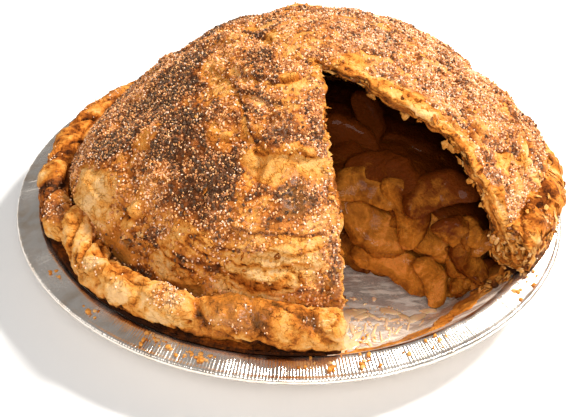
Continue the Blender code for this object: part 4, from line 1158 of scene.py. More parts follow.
def build_roll(name, degrees, form, round_end, ring_step, cut_side, seed):
    """One roll of the edge, round at its folded end and torn at its cut end. The cut end comes last."""
    sides = 58
    phases = np.radians(np.linspace(0, 360, sides, endpoint=False))
    reach, rise, fullness = roll_points(degrees, phases, form, round_end, ring_step)
    azimuth = np.repeat(degrees[:, None], sides, axis=1)
    blend = ease((np.arange(len(degrees)) - len(degrees) + 14) / 13.0)[:, None]
    azimuth = azimuth + blend * (cut_azimuth(cut_side, reach) - degrees[-1])
    turn = np.radians(azimuth)
    place = stack(reach * np.cos(turn), reach * np.sin(turn), rise)
    full = fullness[:, None]
    rough = 1.0 + 0.9 * near(azimuth, -22, 16)
    lump = 1.7 * MM * ripple(place, 13, 21) * full * rough
    warp = wander(place, 8, seed)
    warped = place + 1.8 * MM * warp
    lump += waves(warped, (0.85, 6, seed + 3), (0.62, 3.0, seed + 4)) * full * rough
    lump += 0.30 * MM * ripple(warped, 1.8, seed + 15) * full
    along = stack(azimuth * 2.0 * MM, np.repeat(phases[None, :] * 8 * MM, len(degrees), axis=0), rise * 0.0)
    level = 2.4 * ripple(warped, 13, seed + 5) + 1.0 * ripple(warped, 6, seed + 6)
    whole = np.floor(level)
    lump += 0.75 * MM * (whole + ease((level - whole) / 0.14) - 0.9 * level) * full
    twist = azimuth / 13.0 + phases[None, :] * 0.32 + 0.8 * ripple(along, 30, seed + 13)
    pinch = bell((twist - np.round(twist)) * 2.0, 0.16) * ease(1.4 * ripple(along, 26, seed + 14) + 0.8)
    lump -= 2.6 * MM * pinch * full
    creases = bell(ripple(along * np.array([0.45, 1.0, 1.0]) + warp * MM, 5, seed + 7), 0.09)
    creases *= ease(ripple(along, 13, seed + 8) * 3 + 0.3)
    lump -= 1.5 * MM * creases * full
    fold = phases[None, :] - math.radians(150) - 0.5 * ripple(along, 22, seed + 9)
    seam = bell(np.angle(np.exp(1j * fold)), 0.16)
    lump -= 0.9 * MM * seam * full
    reach = reach + lump * np.cos(phases)
    rise = np.maximum(rise + lump * np.sin(phases), ROLL_UNDERSIDE - 0.2 * MM)
    body = stack(reach * np.cos(turn), reach * np.sin(turn), rise)
    torn_cap = []

    points = [body.reshape(-1, 3)]
    rings, around = len(degrees), [(side, (side + 1) % sides) for side in range(sides)]
    faces = [(ring * sides + side, ring * sides + following, (ring + 1) * sides + following,
              (ring + 1) * sides + side)
             for ring in range(rings - 1) for side, following in around]
    cap_rings = 11
    skin = total = rings * sides
    for index, at_cut in ((0, False), (rings - 1, True)):
        middle = body[index].mean(axis=0)
        way = (body[index] - body[1 if index == 0 else index - 1]).mean(axis=0)
        out = way / np.linalg.norm(way)
        previous = index * sides
        for step in range(1, cap_rings):
            share = 1.0 - step / cap_rings
            ring_points = middle + (body[index] - middle) * share
            if at_cut:
                spiral = share * 3.4 - phases / (2 * math.pi) + 0.35 * ripple(ring_points, 5, seed + 11)
                ledge = ease(np.abs(((spiral % 1.0) - 0.5) * 2.0) * 1.6 - 0.3)
                stands = MM * (2.4 * ledge - 0.8 + 1.3 * ripple(ring_points, 2.6, seed + 12))
                torn_cap.append((total, ledge))
            else:
                stands = np.full(sides, 1.6 * MM * math.sqrt(max(0.0, 1.0 - share ** 2)))
            points.append(ring_points + out * stands[:, None])
            faces += ring_quads(previous, total, sides)
            previous = total
            total += sides
        points.append(middle[None, :] + out * 1.0 * MM)
        faces += [(previous + side, total, previous + following) for side, following in around]
        total += 1
    points = np.concatenate(points)
    bake = 0.36 + 0.20 * ripple(points, 22, seed + 21) + 0.28 * ripple(points, 9, seed + 22)
    bake += 0.24 * ripple(points, 4, seed + 23) + 0.16 * ripple(points, 1.8, seed + 24)
    crest = ease((points[:, 2] - 40 * MM) / (6 * MM))
    bake += 0.12 * crest * ease(0.5 + ripple(points, 20, seed + 25))
    # Painted shade in the roll's creases, seam and pinches, which are also pressed in.
    bake[:skin] += 0.48 * (creases * full + 0.5 * seam * full + 0.7 * pinch * full).ravel()
    # The torn end gets painted shade down between its standing ledges, which stay pale.
    for first, ledge in torn_cap:
        bake[first:first + sides] = (0.72 - 0.58 * ledge
                                     + 0.20 * ripple(points[first:first + sides], 3, seed + 28))
    # Painted shade on the side of the roll that faces the dome, low down, and on its underside.
    inner_side_shade = np.clip(-np.cos(phases), 0.0, 1.0) * ease(0.5 - np.sin(phases) * 1.2)
    underside = ease((-np.sin(phases) - 0.35) / 0.4)
    bake[:skin] += (np.maximum(0.5 * inner_side_shade, 0.35 * underside)[None, :] * full).ravel()
    here = np.degrees(np.arctan2(points[:, 1], points[:, 0]))
    knob = near(here, -102, 7) * ease((points[:, 2] - 38 * MM) / (5 * MM))
    bake += 0.18 * knob - 0.17 * near(here, -125, 16) + 0.12 * near(here, -92, 8)
    sugar = ((1.3 * ripple(points, 12, seed + 26) - 0.10) * crest + 0.7 * near(here, -168, 12) * crest
             + 0.5 * knob)
    amber = 0.9 * knob + 0.25 * ease(ripple(points, 16, seed + 27) * 2)
    return mesh_from(name, points, faces, pastry_layers(bake, amber, np.clip(sugar, 0.0, 1.0)))


def flake_parts(centre, outward, lie, length, width, curl, lift, seed):
    """A thin curled plate of pastry: points and faces, on a frame of its own."""
    side, count = np.cross(outward, lie), 12
    turn = np.linspace(0, 2 * math.pi, count, endpoint=False)
    edge = np.random.default_rng(seed).uniform(0.45, 1.15, count)
    points, faces = [], []
    for thick in (0.15 * MM, -0.15 * MM):
        base = len(points)
        for share, taper in ((0.0, 1.0), (0.5, 1.0), (1.0, 0.25)):
            x = np.cos(turn) * edge * share * length / 2
            y = np.sin(turn) * edge * share * width / 2
            z = curl * ((x / length) ** 2 * 2
                        + (y / width) ** 2) * width + lift * (x / length + 0.5) + thick * taper
            points += [centre
                       + lie * x[i] + side * y[i] + outward * z[i] for i in range(count if share else 1)]
        sheet = fan(base, base + 1, count) + ring_quads(base + 1, base + 1 + count, count)
        faces += [face[::-1] for face in sheet] if thick < 0 else sheet
    return points, faces + ring_quads(1 + count, 2 + 3 * count, count)


def cut_place(line, index, side=1.0):
    """On a cut line: angle, steepness, plain dome point, its normal and the level way out into the slice."""
    angle, steepness = dome_coordinates(line[index])
    way = line[index + 1] - line[index - 1]
    out = np.array([way[1], -way[0], 0.0]) / np.linalg.norm(way) * side
    return angle, steepness, dome_point(angle, steepness), dome_outward(angle, steepness), out


def back_roll_place(degrees, phase, spread=1.0):
    """A point of the back roll's section, and the level way out from the tin's centre."""
    radius, half_width, half_height = (float(value) for value in back_roll_form(np.array(degrees)))
    turn = math.radians(degrees)
    round_way = np.array([math.cos(turn), math.sin(turn), 0.0])
    place = round_way * (radius + half_width * spread * math.cos(phase))
    place[2] = ROLL_UNDERSIDE + ROLL_FLATTENED * half_height + half_height * spread * math.sin(phase)
    return place, round_way


def build_flakes():
    """Loose and half-lifted flakes on the dome, the cuts and the roll, with their sizes in mm."""
    rng = np.random.default_rng(17)
    points, faces, bakes = [], [], []

    def add(centre, outward, lie, length, width, curl, lift, bake):
        outward = outward / np.linalg.norm(outward)
        lie = lie - outward * (lie @ outward)
        lie = lie / np.linalg.norm(lie)
        made = flake_parts(centre, outward, lie, length * MM, width * MM, curl, lift * MM, len(points))
        join(points, faces, *made)
        bakes.extend([bake] * len(made[0]))

    def baked(middle, spread, least, most):
        return float(np.clip(rng.normal(middle, spread), least, most))

    zones = [(-28, 50, 0.25, 0.92, 110), (-136, -86, 0.68, 0.92, 60), (-180, 180, 0.15, 0.9, 60)]
    for low, high, upper, lower, count in zones:
        for _ in range(count):
            angle = np.radians(np.array(rng.uniform(low, high)))
            steepness = np.array(rng.uniform(upper, lower))
            if -84 < math.degrees(angle) < -28:
                continue
            plain, outward = dome_point(angle, steepness), dome_outward(angle, steepness)
            relief = broad_relief(angle, steepness, plain) + crust_marks(angle, steepness, plain)[0]
            way = np.cross(outward, rng.uniform(-1, 1, 3))
            length, width = rng.uniform(2.0, 6.5), rng.uniform(1.2, 3.4)
            add(plain + outward * (relief + 0.05 * MM), outward, way, length, width, rng.uniform(-0.25, 0.2),
                rng.uniform(0.1, 0.9), baked(0.38, 0.14, 0.05, 0.8))
    for corners, side in ((SLICE_RIGHT_SIDE, 1.0), (SLICE_LEFT_SIDE, -1.0)):
        line = along_line([SLICE_TIP, *corners], np.linspace(0.0, 1.0, 400))
        for _ in range(230):
            angle, steepness, plain, outward, out = cut_place(line, int(rng.uniform(8, 395)), side)
            if steepness > 0.97:
                continue
            depth = rng.uniform(0.0, 1.0) * float(crust_thickness(steepness))
            centre = plain + outward * (float(broad_relief(angle, steepness, plain)) - depth) + out * 0.6 * MM
            add(centre, outward + 0.5 * rng.uniform(-1, 1, 3), out + 0.6 * rng.uniform(-1, 1, 3),
                rng.uniform(2.0, 6.5), rng.uniform(1.6, 4.4), rng.uniform(-0.3, 0.4),
                rng.uniform(-1.4, 0.8), baked(0.40, 0.15, 0.06, 0.8))
    for _ in range(150):
        degrees, phase = rng.uniform(-32, 4), math.radians(rng.uniform(-30, 200))
        place, round_way = back_roll_place(degrees, phase)
        outward = round_way * math.cos(phase) + np.array([0.0, 0.0, math.sin(phase)])
        add(place + outward * 0.6 * MM, outward + 0.5 * rng.uniform(-1, 1, 3), rng.uniform(-1, 1, 3),
            rng.uniform(3.0, 8.0), rng.uniform(1.8, 4.2), rng.uniform(-0.3, 0.3),
            rng.uniform(-0.6, 1.2), baked(0.36, 0.18, 0.05, 0.85))
    cut_end = -31.0
    face_way = np.array([math.sin(math.radians(cut_end)), -math.cos(math.radians(cut_end)), 0.0])
    for _ in range(90):
        spread, phase = math.sqrt(rng.uniform(0, 1)), rng.uniform(0, 2 * math.pi)
        place, round_way = back_roll_place(cut_end, phase, spread)
        around_way = np.array([0.0, 0.0, math.cos(phase)]) - round_way * math.sin(phase)
        add(place + face_way * 1.2 * MM, face_way + 0.9 * rng.uniform(-1, 1, 3), around_way,
            rng.uniform(3.0, 6.5),
            rng.uniform(1.4, 3.0), rng.uniform(-0.4, 0.4), rng.uniform(-0.6, 0.9),
            baked(0.42, 0.20, 0.06, 0.9))
    line = along_line([SLICE_TIP, *SLICE_RIGHT_SIDE], np.linspace(0.0, 1.0, 400))
    for share in (0.06, 0.20, 0.31, 0.44, 0.46, 0.49, 0.52, 0.54, 0.60):
        _, steepness, plain, outward, out = cut_place(line, int(share * 400))
        if steepness > 0.97:
            continue
        root = plain - outward * (float(crust_thickness(steepness)) * rng.uniform(0.6, 1.0))
        hang = np.array([0.0, 0.0, -1.0]) + out * rng.uniform(0.1, 0.6) + 0.3 * rng.uniform(-1, 1, 3)
        hang = hang / np.linalg.norm(hang)
        length = rng.uniform(3.5, 8.0)
        add(root + out * 0.8 * MM + hang * (length * MM) * 0.30, out + 0.4 * rng.uniform(-1, 1, 3), hang,
            length,
            rng.uniform(3.0, 6.0), rng.uniform(-0.4, 0.4), rng.uniform(-0.8, 0.8), 0.30)
    for place, length, width, rise in (((15, -20, 107), 12, 4.5, 0.1), ((22, -21.5, 106.5), 13, 5.0, 0.0),
                                       ((30, -25, 104.5), 11, 4.5, -0.1), ((10, -24, 107), 9, 4.0, 0.3),
                                       ((38, -28, 101.5), 10, 4.2, -0.15)):
        way = np.array([1.0, -0.30, -0.22]) + 0.15 * rng.uniform(-1, 1, 3)
        add(np.array(place) * MM, np.array([0.1, -0.75, 0.65 + rise]), way, length, width,
            rng.uniform(0.2, 0.5), rng.uniform(-0.6, 0.6), 0.22)
    for _ in range(110):
        index = int(rng.uniform(0.60, 0.84) * 400)
        out = cut_place(line, index)[-1]
        place = np.array([*line[index], 0.0]) + out * rng.uniform(-0.5, 9.0) * MM
        reach = float(np.hypot(place[0], place[1]))
        if not 90 * MM < reach < 118 * MM:
            continue
        place[2] = 1.4 * MM + max(reach - 92.4 * MM, 0.0) * 0.93 + rng.uniform(1.5, 4.5) * MM
        inward = np.array([-place[0], -place[1], reach]) / (reach * 1.414)
        add(place, inward + 0.8 * rng.uniform(-1, 1, 3), rng.uniform(-1, 1, 3), rng.uniform(3.0, 8.0),
            rng.uniform(2.0, 4.5), rng.uniform(-0.4, 0.4), rng.uniform(-0.8, 1.0),
            baked(0.52, 0.18, 0.1, 0.9))
    line = along_line([SLICE_TIP, *SLICE_LEFT_SIDE], np.linspace(0.0, 1.0, 400))
    for share, length, width in ((0.56, 8, 3.4), (0.63, 10, 4.0), (0.68, 14, 4.2), (0.73, 11, 3.6)):
        _, steepness, plain, outward, _ = cut_place(line, int(share * 400))
        root = plain - outward * (0.85 * float(crust_thickness(steepness)))
        hang = np.array([0.16, -0.22, -0.96]) + 0.12 * rng.uniform(-1, 1, 3)
        add(root + hang * length * 0.35 * MM, np.array([0.35, -0.9, 0.2]), hang, length, width, 0.3,
            rng.uniform(-0.5, 0.5), 0.24)
    return mesh_from("crust_flakes", points, faces, pastry_layers(bakes, 0.1))


# Filling

def heap_top(reach):
    return 56 * MM - 20 * MM * (reach / (95 * MM)) ** 2


def wall_radius(height):
    slope = (FLANGE_INNER_RADIUS - FLOOR_RADIUS - 2.0 * MM) / (FLANGE_INNER_HEIGHT - 2.7 * MM)
    return FLOOR_RADIUS + 0.4 * MM + (height - 1.4 * MM) * slope


def build_heap():
    """Core of the filling: fruit and thick syrup, cut back a little behind the crust."""
    rows = 90
    sides = (moved_side(SLICE_RIGHT_SIDE, HEAP_SCRAPED)[1:], moved_side(SLICE_LEFT_SIDE, -HEAP_SCRAPED)[1:])
    tip = SLICE_TIP + np.array([-4.0 * MM, 6.0 * MM])
    plan, out = level_net(98 * MM, tip, sides, np.linspace(0.0, 1.0, rows + 1), 320)
    rise = np.minimum(heap_top(out), 56 * MM) - 8 * MM * ease((out - 88 * MM) / (10 * MM))
    top = np.concatenate([plan, rise[..., None]], axis=-1)
    top[..., 2] += waves(top, (1.8, 14, 12), (0.9, 6, 13))
    floor = np.maximum(4.2 * MM, 4.2 * MM + (out - 84 * MM) * 1.25)
    under = np.concatenate([plan, floor[..., None]], axis=-1)
    walls = []
    for side, column in ((1.0, 0), (-1.0, -1)):
        lerp = through(top, under, column, 40)
        bulge = waves(lerp, (1.6, 11, 14), (0.8, 4, 15))
        walls.append(lerp + gap_way(top[:, column], side)[:, None, :] * bulge[..., None])
    strides = [4 if row < 20 else 2 if row < 45 else 1 for row in range(rows + 1)]
    points, _, faces = cut_body(top, under, walls, strides)
    return mesh_from("filling_core", points, faces, {"tone": 0.78, "rind": 0.3})


def wedge_points(size, seed):
    """Smooth apple wedge: points, faces and how near each point is to the peeled round side."""
    count, sweeps = WEDGE_SIDES, 26
    closed = np.array(APPLE_SECTION)
    smooth = []
    for value in np.linspace(0, len(APPLE_SECTION), count, endpoint=False):
        index = int(value)
        share = value - index
        before, here, after, later = (closed[(index + k) % len(closed)] for k in (-1, 0, 1, 2))
        curved = 0.5 * (2 * here + (after - before) * share
                        + (2 * before - 5 * here + 4 * after - later) * share ** 2
                        + (3 * here - before - 3 * after + later) * share ** 3)
        smooth.append(0.4 * curved + 0.6 * (here + (after - here) * share))
    points, rind = [], []
    limit = math.radians(APPLE_SWEEP)
    for sweep in np.linspace(-limit, limit, sweeps + 2)[1:-1]:
        fullness = math.sqrt(1.0 - (sweep / limit) ** 2 * 0.985)
        for deep, wide in smooth:
            reach = (APPLE_RADIUS + deep * APPLE_DEPTH * fullness) * size
            points.append((reach * math.sin(sweep), wide * APPLE_THICKNESS * size * fullness,
                           reach * math.cos(sweep) - APPLE_RADIUS * size))
            rind.append(max(0.0, deep * 2.0))
    faces = []
    for ring in range(sweeps - 1):
        faces += ring_quads(ring * count, (ring + 1) * count, count)
    for ring, sweep in ((0, -limit), (sweeps - 1, limit)):
        points.append((APPLE_RADIUS * size * math.sin(sweep), 0.0,
                       APPLE_RADIUS * size * (math.cos(sweep) - 1.0)))
        rind.append(0.5)
        faces += fan(len(points) - 1, ring * count, count)
    points = np.array(points)
    moved = points + seed * np.array([0.31, 0.17, 0.53])
    length = np.linalg.norm(points - points.mean(axis=0), axis=-1, keepdims=True)
    bump = waves(moved, (2.4, 13, 201), (1.5, 5.5, 202))
    bump += 0.6 * MM * ripple(moved, 2.6, 203)
    points = points + (points - points.mean(axis=0)) / length * bump[:, None]
    return points, faces, np.array(rind)


def top_wedges():
    placed = []
    for index in range(1, TOP_WEDGES * 2):
        turn = index * 137.5
        reach = 19 * MM * math.sqrt(index)
        clear = abs(turn_difference(turn, -54)) > 48
        if clear and reach < 78 * MM and len(placed) < TOP_WEDGES:
            lean = float(lattice_value(np.array([index, 7.0, 0.0]), 6))
            placed.append((reach * math.cos(math.radians(turn)) / MM,
                           reach * math.sin(math.radians(turn)) / MM,
                           (heap_top(reach) - 5 * MM) / MM, turn * 1.7, 62 + 16 * lean, turn * 2.3,
                           0.84 + 0.08 * lean))
    return placed


def small_chunks():
    """Broken bits of apple that fill the gaps at both cut sides of the heap."""
    rng = np.random.default_rng(41)
    chunks = []
    for corners, aside, count, facing in ((SLICE_RIGHT_SIDE, 1.5 * MM, 46, -80),
                                          (SLICE_LEFT_SIDE, -1.5 * MM, 20, 10)):
        line = along_line(moved_side(corners, aside), np.linspace(0.06, 0.62, 200))
        for _ in range(count):
            x, y = line[int(rng.uniform(0, 199))]
            z = rng.uniform(5, 50)
            chunks.append((x / MM, y / MM, z, facing + rng.uniform(-60, 60), rng.uniform(-20, 70),
                           rng.uniform(0, 360), rng.uniform(0.30, 0.52)))
    return chunks


def build_wedges():
    """All apple wedges, each a closed form of its own, joined into one mesh."""
    points, faces, tones, rinds = [], [], [], []
    for index, (x, y, z, facing, tilt, spin,
                size) in enumerate(OPEN_SIDE_WEDGES + top_wedges() + small_chunks()):
        form, form_faces, rind = wedge_points(size, index)
        turn = Matrix.Rotation(math.radians(facing + 90), 4, "Z")
        turn = (turn @ Matrix.Rotation(math.radians(-tilt), 4, "X")
                @ Matrix.Rotation(math.radians(spin), 4, "Y"))
        turn = np.array(Matrix.Translation((x * MM, y * MM, z * MM)) @ turn)
        form = form @ turn[:3, :3].T + turn[:3, 3]
        reach = np.hypot(form[:, 0], form[:, 1])
        most = wall_radius(np.maximum(form[:, 2], 0.0)) - 1.4 * MM
        pull = np.minimum(1.0, most / np.maximum(reach, 1e-6))
        form[:, 0] *= pull
        form[:, 1] *= pull
        form[:, 2] = np.maximum(form[:, 2], 1.0 * MM)
        join(points, faces, form, form_faces)
        tone = 0.26 + 0.26 * float(lattice_value(np.array([index, 3.0, 1.0]), 9))
        # Painted shade, partly syrup: wedges get darker deeper behind the right cut. The shade below is
        # painted shade too, darker higher up under the dome, with a random tone on top.
        from_cut, _ = cut_distance(form[:, :2], SLICE_RIGHT_SIDE)
        behind = (APPLE_CUT_WAY[0] * (form[:, 1] - SLICE_TIP[1])
                  - APPLE_CUT_WAY[1] * (form[:, 0] - SLICE_TIP[0])) > 0
        tone = tone + 0.50 * ease((from_cut * behind - 2 * MM) / (8 * MM))
        shade = 0.30 * ease((form[:, 2] - 22 * MM) / (34 * MM)) + 0.22 * ripple(form, 9, 204)
        streaks = np.arange(len(form)) % WEDGE_SIDES
        grooves = lattice_value(stack(streaks, streaks * 0.0 + index, streaks * 0.0), 12)
        tones.extend(tone + shade + 0.12 * grooves)
        rinds.extend(rind)
    return mesh_from("apple_slices", points, faces, {"tone": tones, "rind": rinds})


# Tin

def turned_net(name, profile, columns, shift):
    """Closed turned form from a closed profile of (radius, height) points, with a shift of its points."""
    profile = np.array(profile)
    angle = np.tile(np.linspace(0, 2 * math.pi, columns, endpoint=False), (len(profile), 1))
    reach, rise = shift(angle, *(np.repeat(profile[:, [part]], columns, axis=1) for part in (0, 1)))
    points = stack(reach * np.cos(angle), reach * np.sin(angle), rise).reshape(-1, 3)
    faces = []
    for row, (radius, _) in enumerate(profile):
        below = (row + 1) % len(profile)
        ends = (radius == 0.0, profile[below, 0] == 0.0)
        if ends == (True, False):
            faces += fan(row * columns, below * columns, columns)
        elif ends == (False, True):
            faces += fan(below * columns, row * columns, columns)
        elif ends == (False, False):
            faces += ring_quads(row * columns, below * columns, columns)
    mesh = mesh_from(name, points, faces)
    loose = bmesh.new()
    loose.from_mesh(mesh)
    bmesh.ops.delete(loose, geom=[v for v in loose.verts if not v.link_faces], context="VERTS")
    loose.to_mesh(mesh)
    loose.free()
    mesh.shade_smooth()
    return mesh


def build_bowl():
    """Floor and wall of the tin with shallow dents."""
    inside = [(0.0, FOIL)] + [(r * MM, FOIL) for r in np.linspace(4, 89, 26)]
    inside += [(FLOOR_RADIUS - 1.2 * MM, FOIL + 0.25 * MM), (FLOOR_RADIUS + 0.4 * MM, 1.4 * MM)]
    top = (FLANGE_INNER_RADIUS - 1.6 * MM, FLANGE_INNER_HEIGHT - 1.3 * MM)
    start = inside[-1]
    for share in np.linspace(0.06, 1.0, 16):
        inside.append((start[0] + (top[0] - start[0]) * share, start[1] + (top[1] - start[1]) * share))
    outside = [(radius + 0.25 * MM, max(height - 0.35 * MM, 0.0)) for radius, height in inside[:0:-1]]
    profile = inside + outside + [(0.0, 0.0)]

    def dented(angle, reach, rise):
        place = stack(reach * np.cos(angle), reach * np.sin(angle), rise)
        on_floor = ease((88 * MM - reach) / (6 * MM)) * (rise > 0.2 * MM)
        dent = waves(place, (0.16, 16, 301), (0.07, 5, 302))
        ring = 0.10 * MM * bell(reach - 62 * MM, 1.4 * MM) + 0.10 * MM * bell(reach - 30 * MM, 1.4 * MM)
        on_wall = ease((reach - 94 * MM) / (4 * MM)) * ease((119 * MM - reach) / (3 * MM))
        flute = 0.14 * MM * ripple(stack(angle * 0.105, reach * 0.12, rise * 0.0), 2.6, 303)
        rise = rise + on_floor * (np.abs(dent) + ring)
        return reach - on_wall * (np.abs(flute) + np.abs(dent)), rise

    return turned_net("tin_bowl", profile, 720, dented)


def build_flange(settings):
    """Flange and rolled lip, gathered into many fine wrinkles."""
    depth = settings.wrinkle_depth
    fold = [(FLANGE_INNER_RADIUS - 2.6 * MM, FLANGE_INNER_HEIGHT - 2.2 * MM),
            (FLANGE_INNER_RADIUS - 1.6 * MM, FLANGE_INNER_HEIGHT - 1.2 * MM),
            (FLANGE_INNER_RADIUS - 0.4 * MM, FLANGE_INNER_HEIGHT - 0.15 * MM),
            (FLANGE_INNER_RADIUS + 0.8 * MM, FLANGE_INNER_HEIGHT)]
    centre = (TIN_RADIUS - BEAD_RADIUS, FLANGE_OUTER_HEIGHT - FOIL)
    angles = np.radians(np.linspace(112, -168, 11))
    bead = [(centre[0] + BEAD_RADIUS * math.cos(a), centre[1] + BEAD_RADIUS * math.sin(a)) for a in angles]
    first, last = fold[-1], bead[0]
    ledge = [(first[0] + (last[0] - first[0]) * share, first[1] + (last[1] - first[1]) * share)
             for share in np.linspace(0.14, 0.9, 6)]
    top = fold + ledge + bead
    under = [(radius, height - 0.45 * MM) for radius, height in (fold + ledge)[::-1]]

    def wrinkled(angle, reach, rise):
        along = angle * 126 * MM
        where = stack(along, reach * 0.10, rise * 0.0)
        drift = 4.0 * ripple(where, 11, 315) + 2.0 * ripple(where, 4, 316)
        wave = 0.42 * np.sin(angle * 560 + drift) + 0.40 * ripple(where, 2.1, 312)
        broad = ripple(where, 14, 313)
        strength = ease((reach - 120.5 * MM) / (3 * MM)) * (0.65 + 0.35 * broad)
        at_bead = ease((reach - 129 * MM) / (1.5 * MM))
        lift = depth * wave * strength * (1.0 - 0.35 * at_bead)
        shift = 0.18 * MM * at_bead * ripple(where, 1.6, 314)
        return np.minimum(reach + shift, TIN_RADIUS), rise + lift

    return turned_net("tin_flange", top + under, 2400, wrinkled)


# Bottom crust

def build_bottom():
    """Dough on the floor and wall, with a lip over the flange and torn cut faces."""
    rows, reach = 84, BOTTOM_LIP_RADIUS
    plan, out = level_net(reach, SLICE_TIP, BOTH_SIDES, np.linspace(0.0, 1.0, rows + 1) ** 0.8, 384)
    foil_height = 1.4 * MM + (out - FLOOR_RADIUS - 0.4 * MM) / (wall_radius(1.0) - wall_radius(0.0))
    on_wall = np.maximum(FOIL + 0.35 * MM, foil_height + 0.7 * MM)
    base = np.minimum(on_wall, FLANGE_INNER_HEIGHT + 0.15 * MM)
    rise = np.minimum(on_wall + BOTTOM_THICKNESS * 1.3, BOTTOM_LIP_HEIGHT - 0.05 * MM)
    rise = np.where(out > 112 * MM, BOTTOM_LIP_HEIGHT - 0.05 * MM, rise)
    top = np.concatenate([plan, np.maximum(rise, base + 0.9 * MM)[..., None]], axis=-1)
    under = np.concatenate([plan, base[..., None]], axis=-1)
    top[..., 2] -= np.abs(waves(top, (0.5, 5, 401), (0.25, 2.2, 402)))
    edge_wave = waves(top[-1], (0.7, 6, 403), (0.4, 2.5, 404))
    for layer in (top, under):
        layer[-1, :, :2] *= (1.0 - np.abs(edge_wave) / reach)[:, None]
    walls = []
    arc, depth = np.linspace(0.0, reach, rows + 1)[:, None], np.linspace(0.0, 1.0, 8)[None, 1:-1]
    for side, column, seed in ((1.0, 0, 411), (-1.0, -1, 421)):
        stands = 0.8 * torn_layers(arc, depth, seed)
        way = gap_way(top[:, column], side)
        walls.append(through(top, under, column, 6) + way[:, None, :] * stands[..., None])
    strides = [8 if row < 12 else 4 if row < 24 else 2 if row < 44 else 1 for row in range(rows + 1)]
    points, _, faces = cut_body(top, under, walls, strides)
    bake = 0.50 + 0.2 * ripple(points, 14, 405) + 0.14 * ripple(points, 4, 406)
    # Painted shadow: the lip of the bottom dough is darkened where it lies under the roll.
    roll_shadow = ease((np.hypot(points[:, 0], points[:, 1]) - 112 * MM) / (4 * MM))
    amber = 0.3 + 0.5 * ripple(points, 9, 407) - roll_shadow
    return mesh_from("bottom_dough", points, faces, pastry_layers(bake + 0.42 * roll_shadow, amber))


def build_residue():
    """Crust and dried juice left on the tin's wall in the open slice, with a torn lower edge."""
    columns, rows = 260, 30
    degrees = np.linspace(-78.5, -31.5, columns + 1)[:, None]
    share = np.linspace(0.0, 1.0, rows + 1)[None, :]
    grown = (degrees + 74) / 50
    line = np.concatenate([np.radians(degrees) * 105 * MM, degrees * 0.0, degrees * 0.0], axis=-1)
    torn = waves(line, (2.6, 9, 501), (1.4, 3.5, 502))
    low = np.clip((1 - grown) * 16.5 * MM + grown * 7.0 * MM + torn[:, None], 2.2 * MM, 20.0 * MM)
    upper = waves(line, (2.2, 8, 503), (1.2, 3, 509))
    high = np.clip(21.5 * MM + upper[:, None], 18.0 * MM, 26.0 * MM)
    high = np.maximum(high, low + 1.0 * MM)
    height = low + (high - low) * share
    angle = np.radians(degrees) + share * 0.0
    place = stack(wall_radius(height) * np.cos(angle), wall_radius(height) * np.sin(angle), height)
    thick = (0.75 + 0.55 * ripple(place, 5, 504) + 0.35 * ripple(place, 2, 505)) * MM
    edge = np.minimum(np.minimum(share, 1 - share) * 9.0, 1.0) * np.clip((degrees + 78.5) / 2, 0, 1)
    edge = edge * np.clip((-31.5 - degrees) / 2, 0, 1)
    thick = np.clip(thick, 0.12 * MM, 2.0 * MM) * edge + 0.08 * MM
    skins = []
    for inset in (0.25 * MM + thick * 1.25, 0.15 * MM):
        pull = (wall_radius(height) - inset) / wall_radius(height)
        skins.append((place * stack(pull, pull, pull * 0.0 + 1.0)).reshape(-1, 3))
    grid = np.arange((columns + 1) * (rows + 1)).reshape(columns + 1, rows + 1)
    offset = grid.size
    faces = []
    for i, j in np.ndindex(columns, rows):
        quad = (grid[i, j], grid[i + 1, j], grid[i + 1, j + 1], grid[i, j + 1])
        faces += [quad, tuple(v + offset for v in quad[::-1])]
    border = [grid[i, 0] for i in range(columns)] + [grid[columns, j] for j in range(rows)]
    border += [grid[i, rows] for i in range(columns, 0, -1)] + [grid[0, j] for j in range(rows, 0, -1)]
    faces += [(b, a, a + offset, b + offset) for a, b in zip(border, border[1:] + border[:1])]
    faces = [tuple(int(v) for v in face) for face in faces]
    points = np.concatenate(skins)
    bake = 0.52 + 0.25 * ripple(points, 8, 506) + 0.15 * ripple(points, 3, 507)
    amber = 0.55 + 0.5 * ripple(points, 10, 508)
    return mesh_from("wall_residue", points, faces, pastry_layers(bake, amber))


def blob_parts(centre, radius, stretch, turn, tall, seed, rings=5, count=18):
    """A low round drop on the floor with an uneven outline."""
    rng = np.random.default_rng(seed)
    angles = np.linspace(0, 2 * math.pi, count, endpoint=False)
    lobes = 1.0 + sum(rng.uniform(-0.16, 0.16) * np.cos(angles * k + rng.uniform(0, 6)) for k in (2, 3, 4, 5))
    points = [(centre[0], centre[1], centre[2] + tall)]
    for ring in range(1, rings + 1):
        share = ring / rings
        rise = tall * math.sqrt(max(0.0, 1.0 - share ** 2.4))
        x = np.cos(angles) * lobes * share * radius * stretch
        y = np.sin(angles) * lobes * share * radius / stretch
        for i in range(count):
            points.append((centre[0] + x[i] * math.cos(turn) - y[i] * math.sin(turn),
                           centre[1] + x[i] * math.sin(turn) + y[i] * math.cos(turn), centre[2] + rise))
    faces = fan(0, 1, count)
    for ring in range(rings - 1):
        faces += ring_quads(1 + ring * count, 1 + (ring + 1) * count, count)
    last = 1 + (rings - 1) * count
    faces.append(tuple(last + i for i in range(count))[::-1])
    return points, faces


